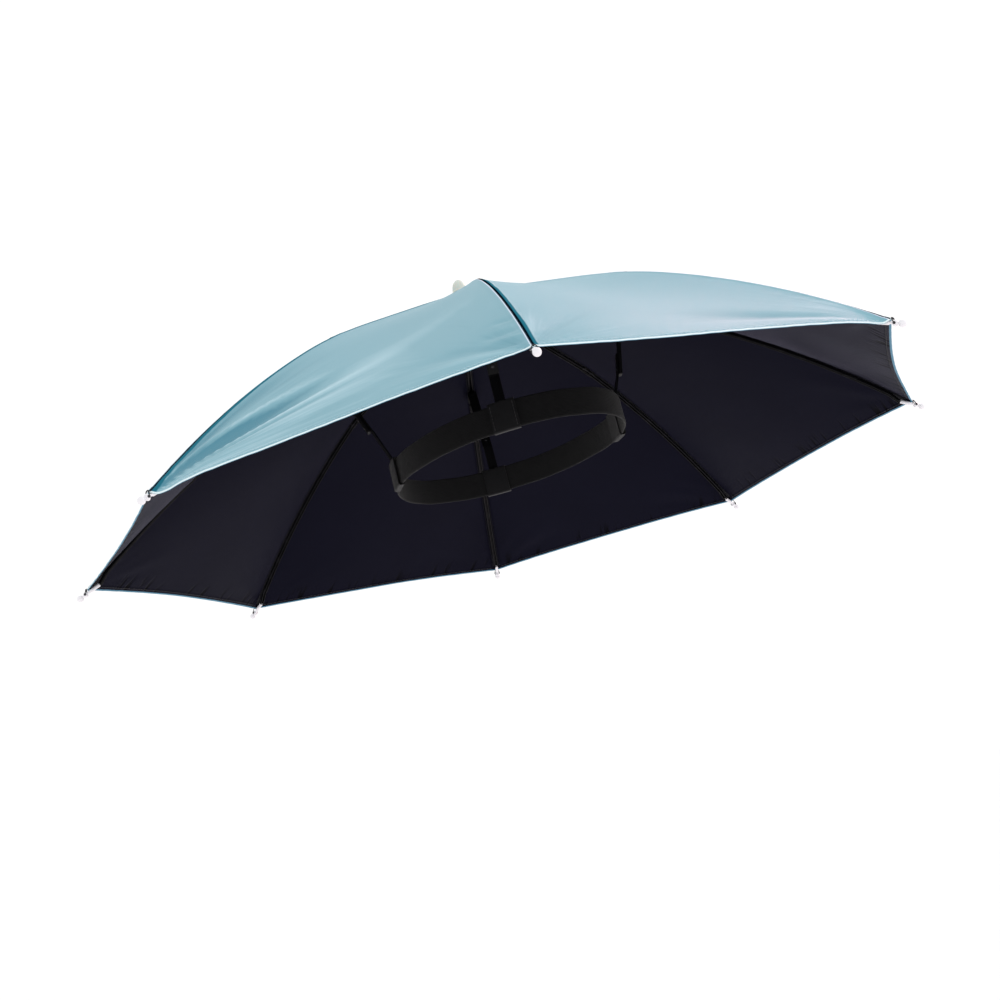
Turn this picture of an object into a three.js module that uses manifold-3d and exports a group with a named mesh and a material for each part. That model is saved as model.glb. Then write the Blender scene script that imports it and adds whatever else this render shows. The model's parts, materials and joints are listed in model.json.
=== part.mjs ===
// Umbrella hat: eight cloth gores on eight folding steel ribs, carried over the head by four
// legs that stand on a stretched elastic headband.
// Millimetres, +Z up. The origin is on the canopy's axis, at the middle of the headband's height.

import * as THREE from "three";
import { mergeVertices } from "three/addons/utils/BufferGeometryUtils.js";
import Module from "manifold-3d";

const wasm = await Module();
wasm.setup();

const degrees = THREE.MathUtils.degToRad;

// Canopy: lengths in mm, slopes in degrees below level
const CANOPY_REACH = 318.5; // axis to a cloth corner
const CROWN_HEIGHT = 131.5; // origin to the cloth at the crown
const KNUCKLE_REACH = 143; // axis to the folding knuckle of a rib
const CROWN_SLOPE = 19.2;
const KNUCKLE_SLOPE = 25.4; // just outside the knuckle
const HEM_SLOPE = 41.4;
const CLOTH_WALL = 1;
const CROWN_HOLE = 7; // hole in the cloth round the hub's stud
const PANEL_SAG = 0.048; // sag of a gore between its ribs, as a share of its width there
const HEM_SAG = 0.006; // the same at the hem, where the hem tape holds it out
const HEM_CUT = 0.011; // how far the hem curves in between two corners, as a share of the reach
const SEAM_GAP = 0.3;
const SEAT_GAP = 0.3;

// One row for each rib, clockwise from the front as seen from above. turn: degrees away from an
// even spacing. lift: rise of its cloth corner, as a share of CANOPY_REACH.
const RIB_SET = [
  { turn: -0.6, lift: 0.004 },
  { turn: 0, lift: -0.008 },
  { turn: 0, lift: 0.003 },
  { turn: 0.2, lift: 0.002 },
  { turn: -0.1, lift: 0.003 },
  { turn: 0.8, lift: -0.006 },
  { turn: -0.3, lift: -0.001 },
  { turn: 0, lift: 0.004 },
];
const RIB_COUNT = RIB_SET.length;
const FRONT_AZIMUTH = -90;

// The cloth's main pleats, one row for each: they fan out from a cloth corner. rib: the corner's
// row in RIB_SET. side: 1 on the gore clockwise of that rib, -1 on the other. angle: degrees from
// the rib, changing by swing over 100 mm. width: degrees. height, near and far: mm, from the corner.
const PLEAT_SET = [
  { rib: 1, side: -1, angle: 13, swing: 14, width: 5, height: 1.9, near: 4, far: 170 },
  { rib: 1, side: -1, angle: 33, swing: 3, width: 8, height: -3, near: 6, far: 190 },
  { rib: 1, side: -1, angle: 49, swing: -5, width: 6, height: 1.6, near: 30, far: 190 },
];
const CORNER_ANGLE = 90 - 180 / RIB_COUNT; // between a rib and the hem at a cloth corner
const PLEAT_RISE = 45; // length over which a pleat reaches its height
const PLEAT_HOLD = 0.45; // share of far that it keeps its height to

// Ribs: a channel that opens downwards
const RIB_WIDTH = 3.2;
const RIB_DEPTH = 3;
const RIB_WALL = 0.7;

// Rib tips: lengths along the tip, from the rib's end outwards
const TIP_SLOPE = 26;
const SLEEVE_LENGTH = 8;
const SLEEVE_WIDTH = 2.8;
const WAIST_LENGTH = 2.7; // from the sleeve to the eye, under the cloth's corner
const WAIST_WIDTH = 1.7;
const WAIST_TAPER = 0.25; // share of the waist's length that narrows from the sleeve
const EYE_LENGTH = 3;
const EYE_WIDTH = 4.4;
const EYE_FLARE = 0.3; // share of the eye's length that widens from the waist
const EYE_TAPER = 0.3; // share that narrows to the neck
const EYE_HOLE = 1.3;
const NECK_LENGTH = 0.6;
const NECK_WIDTH = 1.7;
const BALL_WIDTH = 5;

// Crown
const HUB_WIDTH = 34;
const HUB_RIM = 7; // height of the hub's rim
const STUD_WIDTH = 6;
const FINIAL_WIDTH = 13;
const FINIAL_HEIGHT = 11;
const FINIAL_FLANGE = 1.6;

// Headband: an oval ring, turned about the vertical
const BAND_LENGTH = 200; // outside, along the oval's long axis
const BAND_BREADTH = 160.6; // outside, across it
const BAND_HEIGHT = 20;
const BAND_WALL = 1.6;
const BAND_TURN = -54; // azimuth of the long axis
const BAND_SHIFT = 5; // along +X, from the canopy's axis

// Legs and the loops that tie them to the headband
const HINGE_SETBACK = 27; // from the knuckle in to the bend of an arm, under its rib
const FOOT_LENGTH = 12; // the part of an arm that lies along the rib
const ARM_WIDTH = 7.8;
const ARM_WALL = 2.8;
const STRIP_WIDTH = 7.4;
const STRIP_WALL = 1.2;
const STRIP_LAP = 14; // length riveted to the arm
const STRIP_HOLD = 8; // length held inside the loop
const LOOP_LENGTH = 19;
const LOOP_WALL = 1;

// The rounded lower end of an arm. along: how far past the elbow, and wall: how thick there,
// both as shares of ARM_WALL.
const ARM_END = [
  { along: 0.35, wall: 0.7 },
  { along: 0.5, wall: 0.3 },
];

// One row for each leg. reach: of its elbow, as a share of its bend's. height: of its elbow
// above the headband's middle, as a share of CROWN_HEIGHT.
const LEG_SET = [
  { side: "front", rib: 0, reach: 0.79, height: 0.25 },
  { side: "left", rib: 2, reach: 0.81, height: 0.29 },
  { side: "back", rib: 4, reach: 0.83, height: 0.25 },
  { side: "right", rib: 6, reach: 0.9, height: 0.3 },
];

// How finely the curves are cut
const ACROSS_STEPS = 8;
const CROWN_STEPS = 4;
const OUTER_STEPS = 8;
const PLEATED_FACTOR = 2; // finer steps along a pleated gore
const PLEATED_ACROSS = 22;
const PLEATED_CROWDING = 1.5; // how far its columns crowd towards the pleats' corner
const BAND_STEPS = 32;
const ROUND_STEPS = 10;
const CORNER_STEPS = 4;

// Materials
function finish(name, color, roughness, metalness) {
  return new THREE.MeshStandardMaterial({ name, color, roughness, metalness });
}
const clothFinish = finish("canopy_cloth", 0xa9c6d6, 0.7, 0);
const steelFinish = finish("rib_steel", 0x17181a, 0.35, 0.8);
const tipFinish = finish("tip_plastic", 0xe6e6e0, 0.35, 0);
const finialFinish = finish("finial_plastic", 0xd9dcd6, 0.4, 0);
const legFinish = finish("leg_plastic", 0x131416, 0.3, 0);
const hubFinish = finish("hub_plastic", 0x141416, 0.6, 0);
const loopFinish = finish("loop_tape", 0x121214, 0.9, 0);
const bandFinish = finish("band_elastic", 0x101012, 0.9, 0);

const hat = new THREE.Group();

function addPiece(name, geometry, material) {
  const mesh = new THREE.Mesh(geometry, material);
  mesh.name = name;
  hat.add(mesh);
  return mesh;
}

// Closed mesh from points and triangles of point numbers
function closedMesh(points, triangles) {
  const geometry = new THREE.BufferGeometry();
  geometry.setFromPoints(points);
  geometry.setIndex(triangles.flat());
  geometry.computeVertexNormals();
  return geometry;
}

// Solid with one outline carried along frames of an origin and two directions, across and up
function sweep(outline, frames) {
  const size = outline.length;
  const points = [];
  for (const frame of frames) {
    for (const corner of outline) {
      const point = frame.origin.clone();
      point.addScaledVector(frame.across, corner.x);
      point.addScaledVector(frame.up, corner.y);
      points.push(point);
    }
  }
  const triangles = [];
  for (let i = 0; i + 1 < frames.length; i++) {
    for (let j = 0; j < size; j++) {
      const near = i * size + j;
      const next = i * size + ((j + 1) % size);
      triangles.push([near, next, next + size], [near, next + size, near + size]);
    }
  }
  const last = (frames.length - 1) * size;
  for (const [a, b, c] of THREE.ShapeUtils.triangulateShape(outline, [])) {
    triangles.push([a, c, b], [last + a, last + b, last + c]);
  }
  return closedMesh(points, triangles);
}

// Boolean cut of one closed geometry by another
function toSolid(geometry) {
  const bare = geometry.clone();
  bare.deleteAttribute("normal");
  bare.deleteAttribute("uv");
  const merged = mergeVertices(bare, 1e-4);
  const index = merged.index.array;
  const triangles = [];
  for (let i = 0; i < index.length; i += 3) {
    const [a, b, c] = [index[i], index[i + 1], index[i + 2]];
    if (a !== b && b !== c && c !== a) {
      triangles.push(a, b, c);
    }
  }
  const vertProperties = new Float32Array(merged.attributes.position.array);
  const triVerts = new Uint32Array(triangles);
  return new wasm.Manifold(new wasm.Mesh({ numProp: 3, vertProperties, triVerts }));
}

function cut(geometry, tool) {
  const result = toSolid(geometry).subtract(toSolid(tool)).getMesh();
  const cutGeometry = new THREE.BufferGeometry();
  cutGeometry.setAttribute("position", new THREE.BufferAttribute(result.vertProperties, 3));
  cutGeometry.setIndex(new THREE.BufferAttribute(result.triVerts, 1));
  cutGeometry.computeVertexNormals();
  return cutGeometry;
}

// Rail: the line of the cloth over a rib, straight to the knuckle and an arc outside it
const kneeSine = Math.sin(degrees(KNUCKLE_SLOPE));
const hemSine = Math.sin(degrees(HEM_SLOPE));
const railRadius = (CANOPY_REACH - KNUCKLE_REACH) / (hemSine - kneeSine);

function railSlope(reach) {
  if (reach <= KNUCKLE_REACH) {
    return degrees(CROWN_SLOPE);
  }
  return Math.asin(kneeSine + (reach - KNUCKLE_REACH) / railRadius);
}

function railHeight(reach) {
  const straight = Math.min(reach, KNUCKLE_REACH) * Math.tan(degrees(CROWN_SLOPE));
  if (reach <= KNUCKLE_REACH) {
    return CROWN_HEIGHT - straight;
  }
  const drop = railRadius * (Math.cos(degrees(KNUCKLE_SLOPE)) - Math.cos(railSlope(reach)));
  return CROWN_HEIGHT - straight - drop;
}

// Length of the rail from the crown's axis
function railLength(reach) {
  const straight = Math.min(reach, KNUCKLE_REACH) / Math.cos(degrees(CROWN_SLOPE));
  const arc = railRadius * (railSlope(reach) - degrees(KNUCKLE_SLOPE));
  return straight + (reach > KNUCKLE_REACH ? arc : 0);
}

// Each rib's upright plane: its azimuth, outward and sideways directions and its own lift
const ribs = RIB_SET.map((row, index) => {
  const azimuth = degrees(FRONT_AZIMUTH - (360 / RIB_COUNT) * index + row.turn);
  const outward = new THREE.Vector3(Math.cos(azimuth), Math.sin(azimuth), 0);
  const sideways = new THREE.Vector3(-outward.y, outward.x, 0);
  return { azimuth, outward, sideways, lift: row.lift };
});

// Point in a rib's plane, on the rail or inside it by a depth square to the rail
function ribPoint(rib, reach, depth = 0) {
  const slope = railSlope(reach);
  const point = rib.outward.clone().multiplyScalar(reach - depth * Math.sin(slope));
  point.z = railHeight(reach) + rib.lift * reach - depth * Math.cos(slope);
  return point;
}

// Reaches at which the cloth and the outer ribs are cut
function crownReaches(steps) {
  const reaches = [];
  for (let i = 0; i < steps; i++) {
    reaches.push(THREE.MathUtils.lerp(CROWN_HOLE / 2, KNUCKLE_REACH, i / steps));
  }
  return reaches;
}

function outerReaches(steps) {
  const reaches = [];
  for (let i = 0; i <= steps; i++) {
    const slope = degrees(THREE.MathUtils.lerp(KNUCKLE_SLOPE, HEM_SLOPE, i / steps));
    reaches.push(KNUCKLE_REACH + railRadius * (Math.sin(slope) - kneeSine));
  }
  return reaches;
}

// Height of the pleats in the given rows, at a reach and a share of the width across their gore
function pleatRise(rows, reach, across, width) {
  let rise = 0;
  for (const row of rows) {
    const into = (row.side > 0 ? across : 1 - across) * width;
    const down = railLength(CANOPY_REACH) - railLength(reach);
    const along = down + into * Math.cos(degrees(CORNER_ANGLE));
    const aside = into * Math.sin(degrees(CORNER_ANGLE));
    const away = Math.hypot(along, aside);
    const turn = THREE.MathUtils.radToDeg(Math.atan2(aside, along));
    const line = row.angle + (row.swing * away) / 100;
    const bell = Math.exp(-(((turn - line) / row.width) ** 2));
    const grow = THREE.MathUtils.smoothstep(away, row.near, row.near + PLEAT_RISE);
    const fade = THREE.MathUtils.smoothstep(away, PLEAT_HOLD * row.far, row.far);
    rise += row.height * bell * grow * (1 - fade);
  }
  return rise;
}

// Gore: the cloth clockwise of a rib to the next one, sagging inwards between them
function gore(index) {
  const first = ribs[index];
  const next = (index + 1) % RIB_COUNT;
  const second = ribs[next];
  const pleats = PLEAT_SET.filter(({ rib, side }) => rib === (side > 0 ? index : next));
  const pleated = pleats.length > 0;
  const factor = pleated ? PLEATED_FACTOR : 1;
  const reaches = [...crownReaches(CROWN_STEPS * factor), ...outerReaches(OUTER_STEPS * factor)];
  const acrossSteps = pleated ? PLEATED_ACROSS : ACROSS_STEPS;

  function acrossShare(step) {
    const share = step / acrossSteps;
    if (!pleated) {
      return share;
    }
    return pleats[0].side < 0 ? 1 - (1 - share) ** PLEATED_CROWDING : share ** PLEATED_CROWDING;
  }

  let span = first.azimuth - second.azimuth;
  if (span < 0) {
    span += 2 * Math.PI;
  }
  const middle = first.azimuth - span / 2;
  const inward = new THREE.Vector3(-Math.cos(middle), -Math.sin(middle), 0);

  function skinPoint(reach, across, depth) {
    const belly = 4 * across * (1 - across);
    const cutReach = reach * (1 - HEM_CUT * belly);
    const slope = railSlope(cutReach);
    const ends = [
      { rib: first, side: -1 },
      { rib: second, side: 1 },
    ].map(({ rib, side }) => {
      const point = rib.outward.clone().multiplyScalar(cutReach);
      point.addScaledVector(rib.sideways, (side * SEAM_GAP) / 2);
      point.z = railHeight(cutReach) + rib.lift * cutReach;
      return point;
    });
    const point = ends[0].lerp(ends[1], across);
    const width = 2 * cutReach * Math.sin(span / 2);
    const held = Math.pow(cutReach / CANOPY_REACH, 5);
    const droop = THREE.MathUtils.lerp(PANEL_SAG, HEM_SAG, held) * width * belly;
    const sag = droop - pleatRise(pleats, reach, across, width);
    point.addScaledVector(inward, sag * Math.sin(slope));
    point.z -= sag * Math.cos(slope) + depth / Math.cos(slope);
    return point;
  }

  const columns = acrossSteps + 1;
  const skin = reaches.length * columns;
  const points = [];
  for (const depth of [0, CLOTH_WALL]) {
    for (const reach of reaches) {
      for (let j = 0; j < columns; j++) {
        points.push(skinPoint(reach, acrossShare(j), depth));
      }
    }
  }
  const triangles = [];
  for (let i = 0; i + 1 < reaches.length; i++) {
    for (let j = 0; j < acrossSteps; j++) {
      const near = i * columns + j;
      const far = near + columns;
      triangles.push([near, far + 1, far], [near, near + 1, far + 1]);
      triangles.push([skin + near, skin + far, skin + far + 1]);
      triangles.push([skin + near, skin + far + 1, skin + near + 1]);
    }
  }
  // The cut edge, walked once round the gore, joins the two skins
  const edge = [];
  for (let j = 0; j < acrossSteps; j++) {
    edge.push(j);
  }
  for (let i = 0; i + 1 < reaches.length; i++) {
    edge.push(i * columns + acrossSteps);
  }
  for (let j = acrossSteps; j > 0; j--) {
    edge.push((reaches.length - 1) * columns + j);
  }
  for (let i = reaches.length - 1; i > 0; i--) {
    edge.push(i * columns);
  }
  edge.forEach((near, place) => {
    const next = edge[(place + 1) % edge.length];
    triangles.push([near, skin + next, next], [near, skin + near, skin + next]);
  });
  return closedMesh(points, triangles);
}

// Rib channel: an arched back towards the cloth and two legs that hang from it
function channelOutline() {
  const outline = [];
  const half = RIB_WIDTH / 2;
  const inner = half - RIB_WALL;
  outline.push(new THREE.Vector2(half, -RIB_DEPTH));
  for (let i = 0; i <= CORNER_STEPS; i++) {
    const turn = (Math.PI * i) / CORNER_STEPS;
    outline.push(new THREE.Vector2(half * Math.cos(turn), half * Math.sin(turn) - half));
  }
  outline.push(new THREE.Vector2(-half, -RIB_DEPTH), new THREE.Vector2(-inner, -RIB_DEPTH));
  for (let i = CORNER_STEPS; i >= 0; i--) {
    const turn = (Math.PI * i) / CORNER_STEPS;
    outline.push(new THREE.Vector2(inner * Math.cos(turn), inner * Math.sin(turn) - half));
  }
  outline.push(new THREE.Vector2(inner, -RIB_DEPTH));
  return outline;
}

function ribFrame(rib, reach, slope = railSlope(reach)) {
  const up = rib.outward.clone().multiplyScalar(Math.sin(slope));
  up.z = Math.cos(slope);
  const origin = ribPoint(rib, reach);
  origin.addScaledVector(up, -CLOTH_WALL - SEAT_GAP);
  return { origin, up, across: rib.sideways };
}

function ribStretch(rib, reaches, slopes) {
  const frames = reaches.map((reach, place) => ribFrame(rib, reach, slopes[place]));
  return sweep(channelOutline(), frames);
}

// Rib tip: its waist passes just under the cloth's corner, and its eye is just beyond it
const eyeRoot = SLEEVE_LENGTH + WAIST_LENGTH;
const tipLength = eyeRoot + EYE_LENGTH + NECK_LENGTH + BALL_WIDTH;

function tipFrame(rib) {
  const slope = degrees(TIP_SLOPE);
  const forward = rib.outward.clone().multiplyScalar(Math.cos(slope));
  forward.z = -Math.sin(slope);
  const up = rib.outward.clone().multiplyScalar(Math.sin(slope));
  up.z = Math.cos(slope);
  const root = ribPoint(rib, CANOPY_REACH);
  root.z -= (CLOTH_WALL + SEAT_GAP) / Math.cos(degrees(HEM_SLOPE)) + WAIST_WIDTH / 2 / Math.cos(slope);
  root.addScaledVector(forward, SEAT_GAP - eyeRoot);
  return { root, forward, up };
}

function tipGeometry() {
  const sleeve = SLEEVE_WIDTH / 2;
  const eyeStart = eyeRoot + EYE_LENGTH * EYE_FLARE;
  const eyeEnd = eyeRoot + EYE_LENGTH * (1 - EYE_TAPER);
  const neckStart = eyeRoot + EYE_LENGTH;
  const ballCentre = tipLength - BALL_WIDTH / 2;
  const profile = [
    new THREE.Vector2(0, 0),
    new THREE.Vector2(sleeve, 0),
    new THREE.Vector2(sleeve, SLEEVE_LENGTH),
    new THREE.Vector2(WAIST_WIDTH / 2, SLEEVE_LENGTH + WAIST_LENGTH * WAIST_TAPER),
    new THREE.Vector2(WAIST_WIDTH / 2, eyeRoot),
    new THREE.Vector2(EYE_WIDTH / 2, eyeStart),
    new THREE.Vector2(EYE_WIDTH / 2, eyeEnd),
    new THREE.Vector2(NECK_WIDTH / 2, neckStart),
  ];
  const neckTurn = Math.asin(NECK_WIDTH / BALL_WIDTH);
  for (let i = 0; i < CORNER_STEPS; i++) {
    const turn = THREE.MathUtils.lerp(neckTurn, Math.PI, i / CORNER_STEPS);
    const radius = (BALL_WIDTH / 2) * Math.sin(turn);
    profile.push(new THREE.Vector2(radius, ballCentre - (BALL_WIDTH / 2) * Math.cos(turn)));
  }
  profile.push(new THREE.Vector2(0, tipLength));
  const body = new THREE.LatheGeometry(profile, ROUND_STEPS);
  const drill = new THREE.CylinderGeometry(EYE_HOLE / 2, EYE_HOLE / 2, EYE_WIDTH * 2, 6);
  drill.rotateZ(Math.PI / 2);
  drill.translate(0, (eyeStart + eyeEnd) / 2, 0);
  return cut(body, drill);
}

// Hub: a cone under the cloth with a stud up through the hole in the crown
const hubRadius = HUB_WIDTH / 2;
const studRadius = STUD_WIDTH / 2;
const finialBase = CROWN_HEIGHT - (CROWN_HOLE / 2) * Math.tan(degrees(CROWN_SLOPE)) + SEAT_GAP;
const studTop = finialBase + FINIAL_HEIGHT / 2;

function hubHeight(radius) {
  const half = Math.PI / RIB_COUNT;
  const lifts = RIB_SET.map((row) => Math.abs(row.lift));
  const fall = Math.tan(degrees(CROWN_SLOPE)) * (2 - Math.cos(half));
  const belly = 2 * Math.sin(half) * PANEL_SAG;
  const seat = (CLOTH_WALL + SEAT_GAP) / Math.cos(degrees(CROWN_SLOPE));
  return CROWN_HEIGHT - seat - radius * (fall + belly + Math.max(...lifts));
}

function hubGeometry() {
  const rimTop = hubHeight(hubRadius);
  const profile = [
    new THREE.Vector2(0, rimTop - HUB_RIM),
    new THREE.Vector2(hubRadius, rimTop - HUB_RIM),
    new THREE.Vector2(hubRadius, rimTop),
    new THREE.Vector2(studRadius, hubHeight(studRadius)),
    new THREE.Vector2(studRadius, studTop),
    new THREE.Vector2(0, studTop),
  ];
  return new THREE.LatheGeometry(profile, 3 * RIB_COUNT);
}

function finialGeometry() {
  const socket = studRadius + SEAT_GAP;
  const socketTop = studTop + SEAT_GAP;
  const domeBase = finialBase + FINIAL_FLANGE;
  const domeHeight = FINIAL_HEIGHT - FINIAL_FLANGE;
  const profile = [
    new THREE.Vector2(0, socketTop),
    new THREE.Vector2(socket, socketTop),
    new THREE.Vector2(socket, finialBase),
    new THREE.Vector2(FINIAL_WIDTH / 2, finialBase),
  ];
  for (let i = 0; i < 2 * CORNER_STEPS; i++) {
    const turn = (Math.PI / 2) * (i / (2 * CORNER_STEPS));
    const radius = (FINIAL_WIDTH / 2) * Math.cos(turn);
    profile.push(new THREE.Vector2(radius, domeBase + domeHeight * Math.sin(turn)));
  }
  profile.push(new THREE.Vector2(0, domeBase + domeHeight));
  return new THREE.LatheGeometry(profile, 2 * RIB_COUNT);
}

// Turns a geometry made along +Y into one about the upright axis
function upright(geometry) {
  return geometry.rotateX(Math.PI / 2);
}

// Headband
const bandTurn = degrees(BAND_TURN);

function bandGeometry() {
  const long = BAND_LENGTH / 2;
  const short = BAND_BREADTH / 2;
  const outline = new THREE.Shape();
  outline.absellipse(BAND_SHIFT, 0, long, short, 0, 2 * Math.PI, false, bandTurn);
  const opening = new THREE.Path();
  opening.absellipse(BAND_SHIFT, 0, long - BAND_WALL, short - BAND_WALL, 0, 2 * Math.PI, false, bandTurn);
  outline.holes.push(opening);
  const options = { depth: BAND_HEIGHT, bevelEnabled: false, curveSegments: BAND_STEPS };
  const geometry = new THREE.ExtrudeGeometry(outline, options);
  return geometry.translate(0, 0, -BAND_HEIGHT / 2);
}

// Where a rib's plane crosses the middle of the band's wall: the place, its outward normal and
// how far the band bows away from its tangent over half a loop
function bandCrossing(rib) {
  const long = (BAND_LENGTH - BAND_WALL) / 2;
  const short = (BAND_BREADTH - BAND_WALL) / 2;
  const axis = new THREE.Vector3(0, 0, 1);
  const heading = rib.outward.clone().applyAxisAngle(axis, -bandTurn);
  const centre = new THREE.Vector3(BAND_SHIFT, 0, 0).applyAxisAngle(axis, -bandTurn);
  const squares = (heading.x / long) ** 2 + (heading.y / short) ** 2;
  const middle = (heading.x * centre.x) / long ** 2 + (heading.y * centre.y) / short ** 2;
  const rest = (centre.x / long) ** 2 + (centre.y / short) ** 2 - 1;
  const reach = (middle + Math.sqrt(middle ** 2 - squares * rest)) / squares;
  const local = heading.clone().multiplyScalar(reach).sub(centre);
  const normal = new THREE.Vector3(local.x / long ** 2, local.y / short ** 2, 0).normalize();
  const bend = Math.hypot((local.y * long) / short, (local.x * short) / long) ** 3 / (long * short);
  return {
    place: rib.outward.clone().multiplyScalar(reach),
    normal: normal.applyAxisAngle(axis, bandTurn),
    bow: LOOP_LENGTH ** 2 / (8 * bend),
  };
}

// Flat strap along a path, its width along the given direction at each point of the path
function strap(path, width, wall) {
  const outline = [
    new THREE.Vector2(-width / 2, -wall / 2),
    new THREE.Vector2(width / 2, -wall / 2),
    new THREE.Vector2(width / 2, wall / 2),
    new THREE.Vector2(-width / 2, wall / 2),
  ];
  const frames = path.map((stop, place) => {
    const before = path[Math.max(place - 1, 0)].point;
    const after = path[Math.min(place + 1, path.length - 1)].point;
    const arrive = stop.point.clone().sub(before);
    const leave = after.clone().sub(stop.point);
    if (place === 0) {
      arrive.copy(leave);
    }
    if (place === path.length - 1) {
      leave.copy(arrive);
    }
    const forward = arrive.normalize().clone().add(leave.normalize()).normalize();
    const mitre = forward.dot(leave);
    const up = forward.clone().cross(stop.across).normalize();
    const across = up.clone().cross(forward);
    up.multiplyScalar((stop.share ?? 1) / mitre);
    return { origin: stop.point, across, up };
  });
  return sweep(outline, frames);
}

// Leg: an arm with its foot under the rib, and a strip from the arm's lower end to the band
const hingeReach = KNUCKLE_REACH - HINGE_SETBACK;
const footDepth = CLOTH_WALL + SEAT_GAP + RIB_DEPTH + SEAT_GAP + ARM_WALL / 2;
const stripOffset = ARM_WALL / 2 + SEAT_GAP + STRIP_WALL / 2;
const stripStand = BAND_WALL / 2 + SEAT_GAP + STRIP_WALL / 2;
const loopTop = BAND_HEIGHT / 2 + SEAT_GAP + LOOP_WALL;

function legPath(row) {
  const rib = ribs[row.rib];
  const foot = ribPoint(rib, hingeReach + FOOT_LENGTH, footDepth);
  const hinge = ribPoint(rib, hingeReach, footDepth);
  const elbow = rib.outward.clone().multiplyScalar(hingeReach * row.reach);
  elbow.z = CROWN_HEIGHT * row.height;
  return { rib, foot, hinge, elbow };
}

function armGeometry(row) {
  const { rib, foot, hinge, elbow } = legPath(row);
  const down = elbow.clone().sub(hinge).normalize();
  const across = rib.sideways;
  const path = [
    { point: foot, across },
    { point: hinge, across },
    { point: elbow, across },
  ];
  for (const { along, wall } of ARM_END) {
    path.push({ point: elbow.clone().addScaledVector(down, ARM_WALL * along), across, share: wall });
  }
  return strap(path, ARM_WIDTH, ARM_WALL);
}

function stripGeometry(row) {
  const { rib, hinge, elbow } = legPath(row);
  const { place, normal } = bandCrossing(rib);
  const down = elbow.clone().sub(hinge).normalize();
  const inward = rib.sideways.clone().cross(down);
  const lap = elbow.clone().addScaledVector(inward, stripOffset);
  const foot = place.clone().addScaledVector(normal, stripStand);
  const along = new THREE.Vector3(-normal.y, normal.x, 0);
  const path = [
    { point: lap.clone().addScaledVector(down, -STRIP_LAP), across: rib.sideways },
    { point: lap.clone().addScaledVector(down, ARM_WALL), across: rib.sideways },
    { point: foot.clone().setZ(loopTop + STRIP_WALL), across: along },
    { point: foot.clone().setZ(BAND_HEIGHT / 2 - STRIP_HOLD), across: along },
  ];
  return strap(path, STRIP_WIDTH, STRIP_WALL);
}

// Loop: a flat sleeve round the band and the strip's end, with a slot in its top for the strip
function loopGeometry(row) {
  const { place, normal, bow } = bandCrossing(ribs[row.rib]);
  const inside = -BAND_WALL / 2 - SEAT_GAP - bow;
  const outside = stripStand + STRIP_WALL / 2 + SEAT_GAP;
  const half = BAND_HEIGHT / 2 + SEAT_GAP;
  const rectangle = (Kind, low, high, rise) => {
    const path = new Kind();
    path.moveTo(low, -rise);
    path.lineTo(high, -rise);
    path.lineTo(high, rise);
    path.lineTo(low, rise);
    path.closePath();
    return path;
  };
  const outline = rectangle(THREE.Shape, inside - LOOP_WALL, outside + LOOP_WALL, half + LOOP_WALL);
  outline.holes.push(rectangle(THREE.Path, inside, outside, half));
  const sleeve = new THREE.ExtrudeGeometry(outline, { depth: LOOP_LENGTH, bevelEnabled: false });
  sleeve.translate(0, 0, -LOOP_LENGTH / 2);
  const slotWall = STRIP_WALL + 2 * SEAT_GAP;
  const slot = new THREE.BoxGeometry(slotWall, 4 * LOOP_WALL, STRIP_WIDTH + 2 * SEAT_GAP);
  slot.translate(stripStand, half + LOOP_WALL, 0);
  const up = new THREE.Vector3(0, 0, 1);
  const basis = new THREE.Matrix4().makeBasis(normal, up, normal.clone().cross(up));
  return cut(sleeve, slot).applyMatrix4(basis).translate(place.x, place.y, 0);
}

// Build
ribs.forEach((rib, index) => {
  addPiece(`gore_${index + 1}`, gore(index), clothFinish);
});

const kneeSlope = degrees((CROWN_SLOPE + KNUCKLE_SLOPE) / 2);
ribs.forEach((rib, index) => {
  const number = index + 1;
  const innerEnds = [hubRadius + SEAT_GAP, KNUCKLE_REACH - SEAT_GAP / 2];
  const inner = [ribFrame(rib, innerEnds[0], 0), ribFrame(rib, innerEnds[1], kneeSlope)];
  addPiece(`rib_inner_${number}`, sweep(channelOutline(), inner), steelFinish);

  const outer = [ribFrame(rib, KNUCKLE_REACH + SEAT_GAP / 2, kneeSlope)];
  for (const reach of outerReaches(OUTER_STEPS).slice(1, -1)) {
    outer.push(ribFrame(rib, reach));
  }
  const { root, forward, up } = tipFrame(rib);
  const end = root.clone().addScaledVector(forward, -SEAT_GAP).addScaledVector(up, RIB_DEPTH / 2);
  outer.push({ origin: end, up, across: rib.sideways });
  addPiece(`rib_outer_${number}`, sweep(channelOutline(), outer), steelFinish);

  const tip = addPiece(`tip_${number}`, tipGeometry(), tipFinish);
  tip.position.copy(root);
  const below = rib.sideways.clone().cross(forward);
  tip.quaternion.setFromRotationMatrix(new THREE.Matrix4().makeBasis(rib.sideways, forward, below));
});

addPiece("crown_hub", upright(hubGeometry()), hubFinish);
addPiece("finial", upright(finialGeometry()), finialFinish);
addPiece("headband", bandGeometry(), bandFinish);
for (const row of LEG_SET) {
  addPiece(`leg_arm_${row.side}`, armGeometry(row), legFinish);
  addPiece(`leg_strip_${row.side}`, stripGeometry(row), legFinish);
  addPiece(`band_loop_${row.side}`, loopGeometry(row), loopFinish);
}

export default hat;
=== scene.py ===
"""Looks of the umbrella hat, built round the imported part. Metres, in the part's own frame."""

import json
import math

import bmesh
import bpy
import numpy as np
from mathutils import Matrix, Vector

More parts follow.
